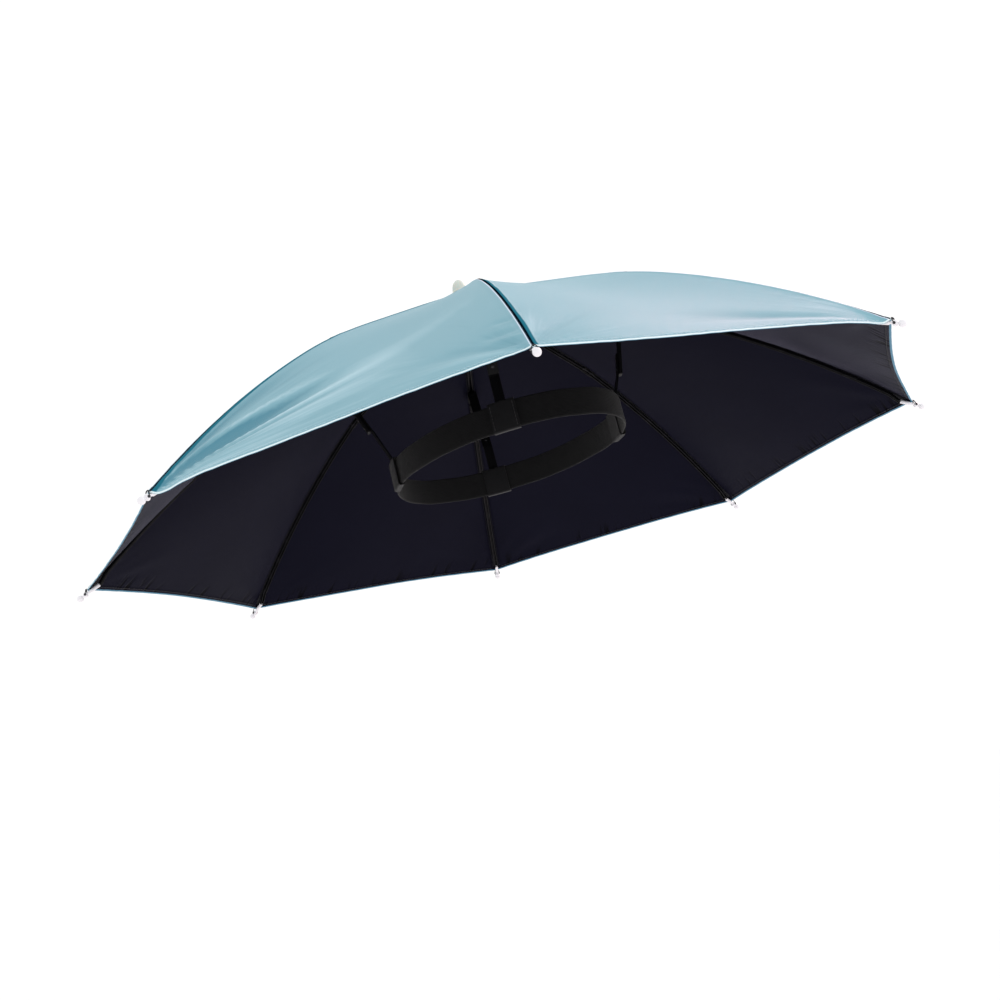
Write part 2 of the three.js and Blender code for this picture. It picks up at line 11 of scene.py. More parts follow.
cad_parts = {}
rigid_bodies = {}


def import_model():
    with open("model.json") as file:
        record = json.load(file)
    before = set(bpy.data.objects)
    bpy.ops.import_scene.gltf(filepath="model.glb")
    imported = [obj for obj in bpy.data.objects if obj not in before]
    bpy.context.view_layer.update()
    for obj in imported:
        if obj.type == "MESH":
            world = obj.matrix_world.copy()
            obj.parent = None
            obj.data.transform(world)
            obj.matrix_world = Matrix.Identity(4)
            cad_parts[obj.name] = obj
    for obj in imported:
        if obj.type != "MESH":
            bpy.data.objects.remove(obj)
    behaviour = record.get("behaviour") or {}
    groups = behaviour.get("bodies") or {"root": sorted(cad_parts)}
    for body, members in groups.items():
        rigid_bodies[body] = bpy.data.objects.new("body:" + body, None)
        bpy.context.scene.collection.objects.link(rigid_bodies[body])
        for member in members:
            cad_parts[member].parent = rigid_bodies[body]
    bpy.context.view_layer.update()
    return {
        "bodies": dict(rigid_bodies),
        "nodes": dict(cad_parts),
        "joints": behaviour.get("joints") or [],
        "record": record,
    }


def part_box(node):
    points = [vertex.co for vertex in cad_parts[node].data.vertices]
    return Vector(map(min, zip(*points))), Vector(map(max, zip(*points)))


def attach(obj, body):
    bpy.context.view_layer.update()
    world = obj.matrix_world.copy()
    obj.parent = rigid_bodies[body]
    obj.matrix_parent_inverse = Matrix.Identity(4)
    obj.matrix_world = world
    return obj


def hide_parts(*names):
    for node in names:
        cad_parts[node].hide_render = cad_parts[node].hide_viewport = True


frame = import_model()

BODY = "root"
MM = 0.001
SOFT = 80  # degrees: a bend up to this stays smooth on thread and cloth

# Canopy, as in the part's source
CANOPY_REACH = 318.5 * MM
CROWN_HEIGHT = 131.5 * MM
KNUCKLE_REACH = 143 * MM
CROWN_SLOPE = math.radians(19.2)
KNUCKLE_SLOPE = math.radians(25.4)
HEM_SLOPE = math.radians(41.4)
CROWN_HOLE = 7 * MM
PANEL_SAG = 0.048
HEM_SAG = 0.006
HEM_CUT = 0.011
CLOTH_WALL = 1 * MM
SEAT_GAP = 0.3 * MM
RIB_SET = [
    {"turn": -0.6, "lift": 0.004},
    {"turn": 0, "lift": -0.008},
    {"turn": 0, "lift": 0.003},
    {"turn": 0.2, "lift": 0.002},
    {"turn": -0.1, "lift": 0.003},
    {"turn": 0.8, "lift": -0.006},
    {"turn": -0.3, "lift": -0.001},
    {"turn": 0, "lift": 0.004},
]
RIB_COUNT = len(RIB_SET)

# Ribs and tips, as in the part's source
RIB_WIDTH = 3.2 * MM
RIB_DEPTH = 3 * MM
RIB_WALL = 0.7 * MM
TIP_SLOPE = math.radians(26)
SLEEVE_LENGTH = 8 * MM
SLEEVE_WIDTH = 2.8 * MM
WAIST_LENGTH = 2.7 * MM
WAIST_WIDTH = 1.7 * MM
EYE_LENGTH = 3 * MM
EYE_WIDTH = 4.4 * MM
EYE_HOLE = 1.9 * MM  # 1.3 mm in the part
NECK_LENGTH = 0.6 * MM
NECK_WIDTH = 1.7 * MM
BALL_WIDTH = 5 * MM
EYE_ROOT = SLEEVE_LENGTH + WAIST_LENGTH
TIP_LENGTH = EYE_ROOT + EYE_LENGTH + NECK_LENGTH + BALL_WIDTH

# Headband, legs and loops, as in the part's source
BAND_LENGTH = 200 * MM
BAND_BREADTH = 160.6 * MM
BAND_HEIGHT = 20 * MM
BAND_WALL = 1.6 * MM
BAND_TURN = math.radians(-54)
BAND_SHIFT = 5 * MM
HINGE_REACH = KNUCKLE_REACH - 27 * MM
FOOT_LENGTH = 12 * MM
ARM_WIDTH = 7.8 * MM
ARM_WALL = 2.8 * MM
STRIP_WIDTH = 7.4 * MM
STRIP_WALL = 1.2 * MM
STRIP_LAP = 14 * MM
STRIP_HOLD = 8 * MM
LOOP_LENGTH = 19 * MM
LEG_SET = [
    {"side": "front", "rib": 0, "reach": 0.79, "height": 0.25},
    {"side": "left", "rib": 2, "reach": 0.81, "height": 0.29},
    {"side": "back", "rib": 4, "reach": 0.83, "height": 0.25},
    {"side": "right", "rib": 6, "reach": 0.9, "height": 0.3},
]

# Cloth details
CLOTH_THICK = 0.45 * MM
HEM_FOLD = 4.4 * MM  # depth of the turned hem
HEM_THICK = 0.9 * MM
HEM_LINE = 3.4 * MM  # from the hem's edge to its stitches
SEAM_RIDGE = 0.55 * MM
SEAM_RIDGE_WIDTH = 2.2 * MM
SEAM_GROOVE = 1.3 * MM
SEAM_GROOVE_WIDTH = 0.75 * MM

# Camera: place, heading clockwise from +Y, lift above level and roll, as the photograph shows
CAMERA_PLACE = (-0.1024, -0.9721, -0.2552)
CAMERA_HEADING = math.radians(5.45)
CAMERA_LIFT = math.radians(12.6)
CAMERA_ROLL = math.radians(14.17)
CAMERA_LENS = 48.1
CAMERA_SENSOR = 36


def link_object(name, data):
    linked = bpy.data.objects.new(name, data)
    bpy.context.scene.collection.objects.link(linked)
    return linked


def make_camera():
    data = bpy.data.cameras.new("camera")
    data.lens = CAMERA_LENS
    data.sensor_width = CAMERA_SENSOR
    camera = link_object("camera", data)
    turn = Matrix.Rotation(-CAMERA_HEADING, 4, "Z")
    lift = Matrix.Rotation(math.pi / 2 + CAMERA_LIFT, 4, "X")
    roll = Matrix.Rotation(-CAMERA_ROLL, 4, "Z")
    camera.matrix_world = Matrix.Translation(CAMERA_PLACE) @ turn @ lift @ roll
    bpy.context.scene.camera = camera


make_camera()


# Mesh helpers: a shape is an array of points and a list of faces

def unit(vectors):
    return vectors / np.linalg.norm(vectors, axis=-1, keepdims=True)


def smoothstep(value, low, high):
    share = np.clip((value - low) / (high - low), 0, 1)
    return share * share * (3 - 2 * share)


def bell(value, width):
    return np.exp(-((value / width) ** 2))


def joined(shapes):
    points = []
    faces = []
    count = 0
    for shape_points, shape_faces in shapes:
        points.append(np.asarray(shape_points, float))
        faces.extend([tuple(i + count for i in face) for face in shape_faces])
        count += len(shape_points)
    return np.concatenate(points), faces


def face_outwards(mesh, weld=0.0, fill=False):
    """Turn every face outwards, after welding close points or filling open ends."""
    shape = bmesh.new()
    shape.from_mesh(mesh)
    if weld:
        bmesh.ops.remove_doubles(shape, verts=shape.verts, dist=weld)
    if fill:
        open_edges = [edge for edge in shape.edges if edge.is_boundary]
        bmesh.ops.holes_fill(shape, edges=open_edges)
    bmesh.ops.recalc_face_normals(shape, faces=shape.faces)
    shape.to_mesh(mesh)
    shape.free()


def add_piece(name, shapes, material, sharp=40):
    """One smooth-shaded mesh from several shapes, riding on the part's only body."""
    points, faces = joined(shapes)
    mesh = bpy.data.meshes.new(name)
    mesh.from_pydata(points.tolist(), [], faces)
    face_outwards(mesh, weld=0.002 * MM)
    mesh.materials.append(material)
    mesh.shade_smooth()
    mesh.set_sharp_from_angle(angle=math.radians(sharp))
    piece = link_object(name, mesh)
    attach(piece, BODY)
    return piece


def skin(rings, closed=False, caps=True):
    """A skin over rings of points, each ring joined to the next."""
    count = len(rings)
    size = len(rings[0])
    faces = []
    for i in range(count if closed else count - 1):
        near = i * size
        far = (i + 1) % count * size
        for j in range(size):
            k = (j + 1) % size
            faces.append((near + j, near + k, far + k, far + j))
    if caps and not closed:
        last = (count - 1) * size
        faces.append(tuple(range(size))[::-1])
        faces.append(tuple(range(last, last + size)))
    return np.concatenate(rings), faces


def sweep(outline, frames, closed=False):
    """An outline of (across, up) pairs carried along frames of (origin, across, up, scale)."""
    outline = np.asarray(outline, float)
    rings = []
    for origin, across, up, scale in frames:
        rings.append(origin + scale * (outline[:, :1] * across + outline[:, 1:] * up))
    return skin(rings, closed)


def path_frames(points, across):
    """Mitred frames along a path, its width along the given direction or directions."""
    points = np.asarray(points, float)
    across = np.broadcast_to(np.asarray(across, float), points.shape)
    ahead = unit(np.diff(points, axis=0))
    arrive = np.vstack([ahead[:1], ahead])
    leave = np.vstack([ahead, ahead[-1:]])
    forward = unit(arrive + leave)
    frames = []
    for i, point in enumerate(points):
        up = unit(np.cross(forward[i], across[i]))
        sideways = np.cross(up, forward[i])
        mitre = float(forward[i] @ leave[i])
        frames.append((point, sideways, up / max(mitre, 0.5), 1))
    return frames


def circle(radius, steps):
    turns = np.arange(steps) * 2 * math.pi / steps
    return np.stack([radius * np.cos(turns), radius * np.sin(turns)], axis=1)


def tube(points, radius, steps=8, closed=False):
    """Round tube along a path, its frames turned as little as possible."""
    points = np.asarray(points, float)
    if closed:
        ahead = unit(np.roll(points, -1, axis=0) - np.roll(points, 1, axis=0))
    else:
        ahead = unit(np.gradient(points, axis=0))
    across = np.cross(ahead[0], (0.31, 0.17, 0.93))
    frames = []
    for point, forward in zip(points, ahead):
        across = unit(across - (across @ forward) * forward)
        frames.append((point, across, np.cross(forward, across), 1))
    return sweep(circle(radius, steps), frames, closed)


def smooth_path(stops, steps, closed=False):
    """Catmull-Rom curve through the stops."""
    stops = np.asarray(stops, float)
    if closed:
        padded = np.vstack([stops[-1:], stops, stops[:2]])
    else:
        padded = np.vstack([2 * stops[:1] - stops[1:2], stops, 2 * stops[-1:] - stops[-2:-1]])
    curve = []
    for a, b, c, d in zip(padded, padded[1:], padded[2:], padded[3:]):
        for t in np.arange(steps) / steps:
            bend = (2 * a - 5 * b + 4 * c - d) * t * t + (3 * b - a - 3 * c + d) * t**3
            curve.append(b + 0.5 * ((c - a) * t + bend))
    if not closed:
        curve.append(stops[-1])
    return np.array(curve)


def lathe(profile, steps, place=(0, 0, 0), axis=(0, 0, 1), side=(1, 0, 0)):
    """Profile of (radius, height) pairs turned about an axis."""
    axis = unit(np.asarray(axis, float))
    side = np.asarray(side, float)
    side = unit(side - (side @ axis) * axis)
    other = np.cross(axis, side)
    rings = []
    for radius, height in profile:
        ring = circle(radius, steps)
        rings.append(np.asarray(place) + ring[:, :1] * side + ring[:, 1:] * other + height * axis)
    return skin(rings, caps=False)


def arc(middle, radii, start, end, steps):
    """Pairs along an arc about its middle, from one turn to another."""
    turns = [start + (end - start) * i / steps for i in range(steps + 1)]
    return [(middle[0] + radii[0] * math.cos(t), middle[1] + radii[1] * math.sin(t)) for t in turns]


def rounded_outline(width, height, radius, steps=4):
    """Rectangle with round corners, about its middle."""
    outline = []
    for corner, (x, y) in enumerate([(1, 1), (-1, 1), (-1, -1), (1, -1)]):
        middle = (x * (width / 2 - radius), y * (height / 2 - radius))
        start = math.pi / 2 * corner
        outline += arc(middle, (radius, radius), start, start + math.pi / 2, steps)
    return outline


# Materials

CLOTH_WEAVE = (0.55 * MM, 0.5 * MM, 0.03 * MM, 0.5)  # pitches, and depth and strength of the bump
GATHERS_ALONG = 190  # scale of the hem's gathers along it and inwards
GATHERS_IN = 30
GATHERS_END = (4 * MM, 20 * MM)  # from the hem, where they fade


class Surface:
    """A procedural material: a principled shader and short ways to add nodes before it."""

    def __init__(self, name, **sockets):
        self.material = bpy.data.materials.new(name)
        self.material.use_nodes = True
        self.tree = self.material.node_tree
        self.shader = self.tree.nodes["Principled BSDF"]
        for socket, value in sockets.items():
            self.shader.inputs[socket.replace("_", " ")].default_value = value

    def node(self, kind, settings=None, **inputs):
        node = self.tree.nodes.new(kind)
        for key, value in (settings or {}).items():
            setattr(node, key, value)
        for socket, value in inputs.items():
            self.feed(node.inputs[socket.replace("_", " ")], value)
        return node

    def feed(self, socket, value):
        if isinstance(value, bpy.types.NodeSocket):
            self.tree.links.new(value, socket)
        else:
            socket.default_value = value

    def math(self, operation, first, second=0.0):
        node = self.node("ShaderNodeMath", {"operation": operation})
        self.feed(node.inputs[0], first)
        self.feed(node.inputs[1], second)
        return node.outputs[0]

    def place(self, kind="Object"):
        return self.node("ShaderNodeTexCoord").outputs[kind]

    def attribute(self, name, kind="Fac"):
        """A value stored at each point of the mesh."""
        return self.node("ShaderNodeAttribute", {"attribute_name": name}).outputs[kind]

    def noise(self, scale, detail=3, place=None):
        where = place or self.place()
        node = self.node("ShaderNodeTexNoise", Vector=where, Scale=scale, Detail=detail)
        return node.outputs["Fac"]

    def blend(self, share, low, high):
        """Colour from low to high as share goes from 0 to 1."""
        node = self.node("ShaderNodeMix", {"data_type": "RGBA"})
        self.feed(node.inputs["Factor"], share)
        self.feed(node.inputs["A"], (*low, 1) if isinstance(low, tuple) else low)
        self.feed(node.inputs["B"], (*high, 1) if isinstance(high, tuple) else high)
        return node.outputs["Result"]

    def between(self, value, low, high, start=0.0, end=1.0):
        node = self.node("ShaderNodeMapRange", Value=value)
        for socket, number in (("From Min", start), ("From Max", end), ("To Min", low), ("To Max", high)):
            node.inputs[socket].default_value = number
        return node.outputs["Result"]

    def band(self, value, low, high, soft):
        """1 where a value in metres lies between two limits in mm, 0 outside them."""
        rise = self.between(value, 0, 1, (low - soft / 2) * MM, (low + soft / 2) * MM)
        fall = self.between(value, 1, 0, (high - soft / 2) * MM, (high + soft / 2) * MM)
        return self.math("MULTIPLY", rise, fall)

    def colour(self, value):
        self.feed(self.shader.inputs["Base Color"], value)

    def bump(self, height, distance, strength=1.0):
        node = self.node("ShaderNodeBump", Height=height, Strength=strength, Distance=distance)
        previous = self.shader.inputs["Normal"].links
        if previous:
            self.feed(node.inputs["Normal"], previous[0].from_socket)
        self.feed(self.shader.inputs["Normal"], node.outputs["Normal"])

    def weave(self, pitch_across, pitch_along):
        """Height of a plain weave over the UV map, which is in metres."""
        split = self.node("ShaderNodeSeparateXYZ", Vector=self.place("UV"))
        across = self.math("SINE", self.math("MULTIPLY", split.outputs["X"], 2 * math.pi / pitch_across))
        along = self.math("SINE", self.math("MULTIPLY", split.outputs["Y"], 2 * math.pi / pitch_along))
        return self.math("MULTIPLY", across, along)

    def hem_gathers(self):
        """Height of the small gathers that run in from the hem's stitches."""
        split = self.node("ShaderNodeSeparateXYZ", Vector=self.place("UV"))
        along = self.math("MULTIPLY", split.outputs["X"], GATHERS_ALONG)
        inward = self.math("MULTIPLY", split.outputs["Y"], GATHERS_IN)
        place = self.node("ShaderNodeCombineXYZ", X=along, Y=inward).outputs["Vector"]
        near = self.between(self.attribute("hem"), 1, 0, *GATHERS_END)
        crease = self.between(self.noise(1, 2, place), 1, 0, 0.34, 0.44)
        return self.math("MULTIPLY", crease, near)


def outer_cloth():
    look = Surface("canopy_outer", Roughness=0.45, Sheen_Roughness=0.3, Sheen_Tint=(0.9, 0.95, 1, 1))
    cloth = look.blend(look.noise(14, 4), (0.172, 0.366, 0.442), (0.20, 0.402, 0.478))
    # Painted shade and highlight: how much darker or paler the folds make the cloth, with the fine
    # creases' streaks added below
    tone = look.attribute("tone")
    for name in ("fan_first", "fan_second"):
        fan = look.attribute(name, "Vector")
        strength = look.between(look.attribute(name + "_share"), 0, 0.9)
        streak = look.between(look.noise(1, 3, fan), -1, 1, 0.3, 0.7)
        crease = look.math("MULTIPLY", streak, strength)
        tone = look.math("ADD", tone, crease)
        look.bump(crease, 0.3 * MM, 0.35)
    # Painted shade in the valleys of the folds and creases, then painted highlight on their ridges
    cloth = look.blend(look.between(tone, 0, 0.85, -0.05, -1), cloth, (0.05, 0.21, 0.29))
    cloth = look.blend(look.between(tone, 0, 0.75, 0.05, 0.9), cloth, (0.48, 0.68, 0.76))
    before = look.attribute("before_seam")
    after = look.attribute("after_seam")
    # Painted shade at each seam: a dark teal strip beside it, where the cloth dips towards the seam, and a
    # near-black line in its groove
    strip = look.between(before, 1, 0, 2.8 * MM, 3.5 * MM)
    dark_before = look.between(before, 1, 0, 0.7 * MM, 1.1 * MM)
    dark_after = look.between(after, 1, 0, 0.5 * MM, 0.9 * MM)
    dark = look.math("MAXIMUM", dark_before, dark_after)
    cloth = look.blend(strip, cloth, (0.02, 0.15, 0.21))
    cloth = look.blend(dark, cloth, (0.001, 0.004, 0.010))
    # Painted highlight: a thin pale lilac line on the lip at the seam's other side
    cloth = look.blend(look.band(after, 1.0, 1.5, 0.4), cloth, (0.70, 0.75, 0.90))
    hem = look.between(look.attribute("hem"), 1, 0, 0.5 * MM, 0.9 * MM)
    look.colour(look.blend(look.math("MULTIPLY", hem, 0.9), cloth, (0.82, 0.95, 0.98)))
    # The seam's painted shade also takes away specular and sheen there
    shade = look.math("MAXIMUM", strip, dark)
    look.feed(look.shader.inputs["Specular IOR Level"], look.between(shade, 0.25, 0.0))
    look.feed(look.shader.inputs["Sheen Weight"], look.between(shade, 0.04, 0.0))
    look.bump(look.weave(*CLOTH_WEAVE[:2]), *CLOTH_WEAVE[2:])
    look.bump(look.hem_gathers(), -0.4 * MM, 0.2)
    look.bump(look.noise(900, 2), 0.05 * MM, 0.15)
    return look.material


def inner_cloth():
    look = Surface(
        "canopy_inner", Roughness=0.5, Sheen_Weight=0.13, Sheen_Roughness=0.3,
        Sheen_Tint=(0.76, 0.74, 1, 1), Specular_IOR_Level=0.02,
    )
    cloth = look.blend(look.noise(20, 4), (0.0040, 0.0040, 0.0096), (0.0054, 0.0055, 0.0130))
    gathers = look.hem_gathers()
    # Painted shade in the creases of the hem's gathers: the cloth near black there
    look.colour(look.blend(gathers, cloth, (0.001, 0.001, 0.002)))
    gleam = look.between(look.noise(8, 2), 0.085, 0.18, 0.38, 0.62)
    # Less sheen in the gathers' creases, also painted shade
    gleam = look.math("MULTIPLY", gleam, look.between(gathers, 1, 0.1))
    look.feed(look.shader.inputs["Sheen Weight"], gleam)
    look.bump(look.weave(*CLOTH_WEAVE[:2]), *CLOTH_WEAVE[2:])
    look.bump(gathers, -0.8 * MM, 0.5)
    return look.material


def plain_look(name, mottle, dark, light, gloss=None, weave=None, grain=None, **sockets):
    """A surface that varies by noise, each noise given by its scale and detail.

    mottle: the noise from dark to light, and the limits between which it counts. gloss: the
    noise and the roughness from and to. weave: its two pitches, then depth and strength of the
    bump. grain: the noise, then depth and strength of the bump.
    """
    look = Surface(name, **sockets)
    share = look.noise(*mottle[:2])
    if mottle[2:]:
        share = look.between(share, 0, 1, *mottle[2:])
    look.colour(look.blend(share, dark, light))
    if gloss:
        look.feed(look.shader.inputs["Roughness"], look.between(look.noise(*gloss[:2]), *gloss[2:]))
    if weave:
        look.bump(look.weave(*weave[:2]), *weave[2:])
    if grain:
        look.bump(look.noise(*grain[:2]), *grain[2:])
    return look.material


def stitch_thread(name, dark, light):
    return plain_look(name, (700, 2), dark, light, grain=(5200, 2, 0.05 * MM, 0.4), Roughness=0.7)


OUTER_CLOTH = outer_cloth()
INNER_CLOTH = inner_cloth()
# The outside of the cloth where the hem shows it from below: a darker copy of the outer cloth, its shade
# painted into the colour
SHADED_TURNED_CLOTH = plain_look(
    "canopy_turned_shaded", (60, 4), (0.07, 0.20, 0.30), (0.10, 0.26, 0.37),
    weave=CLOTH_WEAVE, Roughness=0.55, Specular_IOR_Level=0.2,
)
SEAM_CLOTH = plain_look(
    "seam_cloth", (60, 3), (0.005, 0.005, 0.009), (0.008, 0.008, 0.014),
    grain=(1500, 2, 0.05 * MM, 0.3), Roughness=0.55, Sheen_Weight=0.04, Specular_IOR_Level=0.12,
)
HEM_THREAD = stitch_thread("hem_thread", (0.34, 0.53, 0.60), (0.46, 0.64, 0.70))
BLACK_THREAD = stitch_thread("black_thread", (0.008, 0.008, 0.010), (0.02, 0.02, 0.024))
GREY_THREAD = stitch_thread("grey_thread", (0.018, 0.018, 0.02), (0.034, 0.034, 0.037))
BLACK_STEEL = plain_look(
    "black_steel", (120, 5, 0.55, 0.8), (0.005, 0.005, 0.006), (0.022, 0.022, 0.025),
    gloss=(300, 3, 0.28, 0.46), grain=(800, 3, 0.02 * MM, 0.3),
    Metallic=0.3, Roughness=0.36, Specular_IOR_Level=0.2,
)
DULL_STEEL = plain_look(
    "dull_steel", (500, 3), (0.02, 0.02, 0.022), (0.045, 0.045, 0.047),
    gloss=(900, 3, 0.34, 0.5), Metallic=0.8, Roughness=0.42,
)
TIP_PLASTIC = plain_look(
    "tip_plastic", (250, 3), (0.78, 0.77, 0.81), (0.85, 0.84, 0.87),
    gloss=(600, 3, 0.24, 0.38), grain=(1800, 2, 0.02 * MM, 0.15),
    Roughness=0.3, Coat_Weight=0.2, Coat_Roughness=0.15,
)
FINIAL_PLASTIC = plain_look(
    "finial_plastic", (90, 3), (0.54, 0.58, 0.52), (0.62, 0.66, 0.60),
    gloss=(350, 3, 0.28, 0.46), grain=(1400, 2, 0.02 * MM, 0.15),
    Roughness=0.36, Subsurface_Weight=0.15, Subsurface_Scale=1.5 * MM,
)
LEG_PLASTIC = plain_look(
    "leg_plastic", (150, 4), (0.003, 0.003, 0.0035), (0.006, 0.006, 0.007),
    gloss=(420, 4, 0.3, 0.5), grain=(900, 3, 0.03 * MM, 0.2),
    Roughness=0.36, Coat_Weight=0.03, Coat_Roughness=0.2, Specular_IOR_Level=0.07,
)
HUB_PLASTIC = plain_look(
    "hub_plastic", (200, 4), (0.010, 0.010, 0.011), (0.018, 0.018, 0.020),
    grain=(1500, 3, 0.03 * MM, 0.3), Roughness=0.55,
)
BAND_ELASTIC = plain_look(
    "band_elastic", (160, 4), (0.004, 0.004, 0.0045), (0.008, 0.008, 0.0085),
    weave=(0.9 * MM, 1.0 * MM, 0.12 * MM, 0.6), grain=(2500, 2, 0.08 * MM, 0.3),
    Roughness=0.85, Sheen_Weight=0.1, Sheen_Roughness=0.4, Specular_IOR_Level=0.2,
)
LOOP_TAPE = plain_look(
    "loop_tape", (200, 4), (0.005, 0.005, 0.006), (0.009, 0.009, 0.010),
    weave=(0.7 * MM, 0.7 * MM, 0.1 * MM, 0.6),
    Roughness=0.8, Sheen_Weight=0.12, Sheen_Roughness=0.4, Specular_IOR_Level=0.2,
)


# Rail: the line of the cloth over a rib, straight to the knuckle and an arc outside it

KNEE_SINE = math.sin(KNUCKLE_SLOPE)
RAIL_RADIUS = (CANOPY_REACH - KNUCKLE_REACH) / (math.sin(HEM_SLOPE) - KNEE_SINE)


def rail_slope(reach):
    sine = KNEE_SINE + (np.asarray(reach) - KNUCKLE_REACH) / RAIL_RADIUS
    return np.where(reach <= KNUCKLE_REACH, CROWN_SLOPE, np.arcsin(np.clip(sine, 0, 1)))


def rail_height(reach):
    straight = np.minimum(reach, KNUCKLE_REACH) * math.tan(CROWN_SLOPE)
    drop = RAIL_RADIUS * (math.cos(KNUCKLE_SLOPE) - np.cos(rail_slope(reach)))
    return CROWN_HEIGHT - straight - np.where(reach <= KNUCKLE_REACH, 0, drop)


def rail_length(reach):
    """Length of the rail from the crown to a reach."""
    straight = np.minimum(reach, KNUCKLE_REACH) / math.cos(CROWN_SLOPE)
    bend = RAIL_RADIUS * (rail_slope(reach) - KNUCKLE_SLOPE)
    return straight + np.where(reach <= KNUCKLE_REACH, 0, bend)


RAIL_LENGTH = float(rail_length(CANOPY_REACH))


class Rib:
    def __init__(self, index):
        row = RIB_SET[index % RIB_COUNT]
        self.azimuth = math.radians(-90 - 360 / RIB_COUNT * index + row["turn"])
        self.outward = np.array([math.cos(self.azimuth), math.sin(self.azimuth), 0])
        self.sideways = np.array([-self.outward[1], self.outward[0], 0])
        self.lift = row["lift"]

    def up(self, slope):
        return self.outward * math.sin(slope) + np.array([0, 0, math.cos(slope)])

    def forward(self, slope):
        return self.outward * math.cos(slope) - np.array([0, 0, math.sin(slope)])

    def point(self, reach, depth=0.0):
        height = float(rail_height(reach)) + self.lift * reach
        point = self.outward * reach + np.array([0, 0, height])
        return point - self.up(float(rail_slope(reach))) * depth


RIBS = [Rib(index) for index in range(RIB_COUNT)]

# Droop of the hem beside the corners that show it. rib and side: as for the pleats. drop in mm.
HEM_DROOPS = [
    {"rib": 1, "side": -1, "drop": 3.4},
    {"rib": 7, "side": 1, "drop": 2.4},
]
DROOP_PLACE = 7 * MM  # from the rib to where the hem droops most
DROOP_DEPTH = 18 * MM  # how far up the cloth the droop reaches

# The cloth's smooth relief
NARROW = 40 * MM  # a gore narrower than this, at the crown, has narrower seams
CORNER_ANGLE = math.radians(67.5)  # between a rib and the hem at a cloth corner
KNEE_EASE = 0.7 * MM  # how far the cloth lies lower over the knuckles
KNEE_WIDTH = 18 * MM
HEM_RISE = 0.25 * MM  # of the turned hem above the cloth
HEM_STEP = 0.5 * MM
STITCH_DIP = 0.1 * MM
STITCH_DIP_WIDTH = 0.4 * MM
WAVER = 0.07 * MM  # of the hem, in waves of two lengths that die away from it
WAVER_LONG = 2.3 * MM
WAVER_SHORT = 1.15 * MM
WAVER_DEPTH = 9 * MM
PLEAT_RISE = 45  # mm over which a pleat comes up
PANEL_WAVE = 0.9 * MM  # broad waves in the middle of a gore
PANEL_WAVE_UP = 23  # radians to a metre of reach
PANEL_WAVE_ACROSS = 5.5  # radians to a gore's width

# Fine creases that fan from a corner: a faint bump, with painted shade and highlight streaks in the
# cloth's colour
FAN_CREASES = 16  # to one radian
FAN_RUN = 90 * MM  # how long they run
FAN_ROOT = (3 * MM, 14 * MM)  # where they come up, from the corner
FAN_END = (30 * MM, 200 * MM)  # where they die away
FAN_STRENGTH = 0.16
FAN_FRONT = 0.5  # the strength at the corner of gore_1 that has the large pleats
FAN_SPREAD = 3.7  # sets each gore's creases apart

# Broad shade in the cloth of gore_1: between the large pleats and near the crown
SHADE_ANGLE = 22  # degrees from the rib
SHADE_WIDTH = 12
SHADE_END = (20 * MM, 110 * MM)
CROWN_SHADE = 0.16
CROWN_SHADE_END = (110 * MM, 230 * MM)
SEAM_REACH = 20 * MM  # how far from a seam its distance is kept for the cloth's colours

# Pleats that fan from a cloth corner. rib: the corner's. side: 1 on the gore clockwise of it, -1
# on the other. angle: from the rib in degrees. swing: its change over 100 mm. width: degrees.
# height in mm. near and far: where it begins and ends, in mm from the corner. The last column: the painted
# shade (below 0) or painted highlight (above 0) of its fold, as a share by which the cloth's colour is
# made darker or paler.
PLEAT_COLUMNS = ("rib", "side", "angle", "swing", "width", "height", "near", "far", "tone")
CORNER_PLEATS = [dict(zip(PLEAT_COLUMNS, row)) for row in [
    (1, -1, 3, 3, 5, -0.9, 4, 190, -0.7),
    (1, -1, 11, 10, 2.8, 1.5, 4, 170, 1),
    (1, -1, 18, 7, 4, -1.0, 4, 140, -1),
    (1, -1, 28, 3, 6, -2.4, 6, 170, -1),
    (1, -1, 36, 1, 2.8, 1.2, 6, 190, 0.8),
    (1, -1, 41, -1, 2.8, -0.8, 8, 170, -0.7),
    (1, -1, 50, -3, 7, 1.4, 10, 190, 0.4),
    (1, -1, 61, 0, 6, 0.5, 10, 120, 0.3),
    (1, -1, 27, 3, 3.5, 0.5, 60, 300, 0.3),
    (1, -1, 40, -2, 3.5, 0.6, 60, 260, 0.4),
    (1, -1, 50, 0, 24, 0, 10, 340, 0.08),
    (0, 1, 12, 4, 16, 0, 10, 320, -0.12),
    (0, 1, 30, 12, 6, -1.2, 6, 110, -0.3),
    (0, 1, 47, 6, 5, 0.8, 6, 100, 0.2),
    (0, -1, 40, 4, 9, 0.8, 10, 120, 0),
    (7, 1, 44, 4, 8, -1.8, 8, 170, -0.45),
    (7, 1, 58, 0, 6, 0.7, 8, 120, 0.2),
]]

# Short puckers that leave a rib's seam. start: along the seam from the corner, in mm. angle:
# from the rib in degrees. length, width and height in mm.
PUCKER_COLUMNS = ("rib", "side", "start", "angle", "length", "width", "height")
SEAM_PUCKERS = [dict(zip(PUCKER_COLUMNS, row)) for row in [
    (0, 1, 2, 60, 22, 2.0, -0.9),
    (0, 1, 9, 45, 44, 2.6, -1.2),
    (0, 1, 18, 46, 34, 2.4, 0.9),
    (0, 1, 29, 46, 36, 2.6, -1.1),
    (0, 1, 48, 40, 26, 2.4, -0.8),
]]


SEED = 8
SMALL_PLEATS = (9, 22, 36, 51)  # degrees from the rib
PUCKERED = (6, 150)  # where a seam has small puckers, in mm from the corner


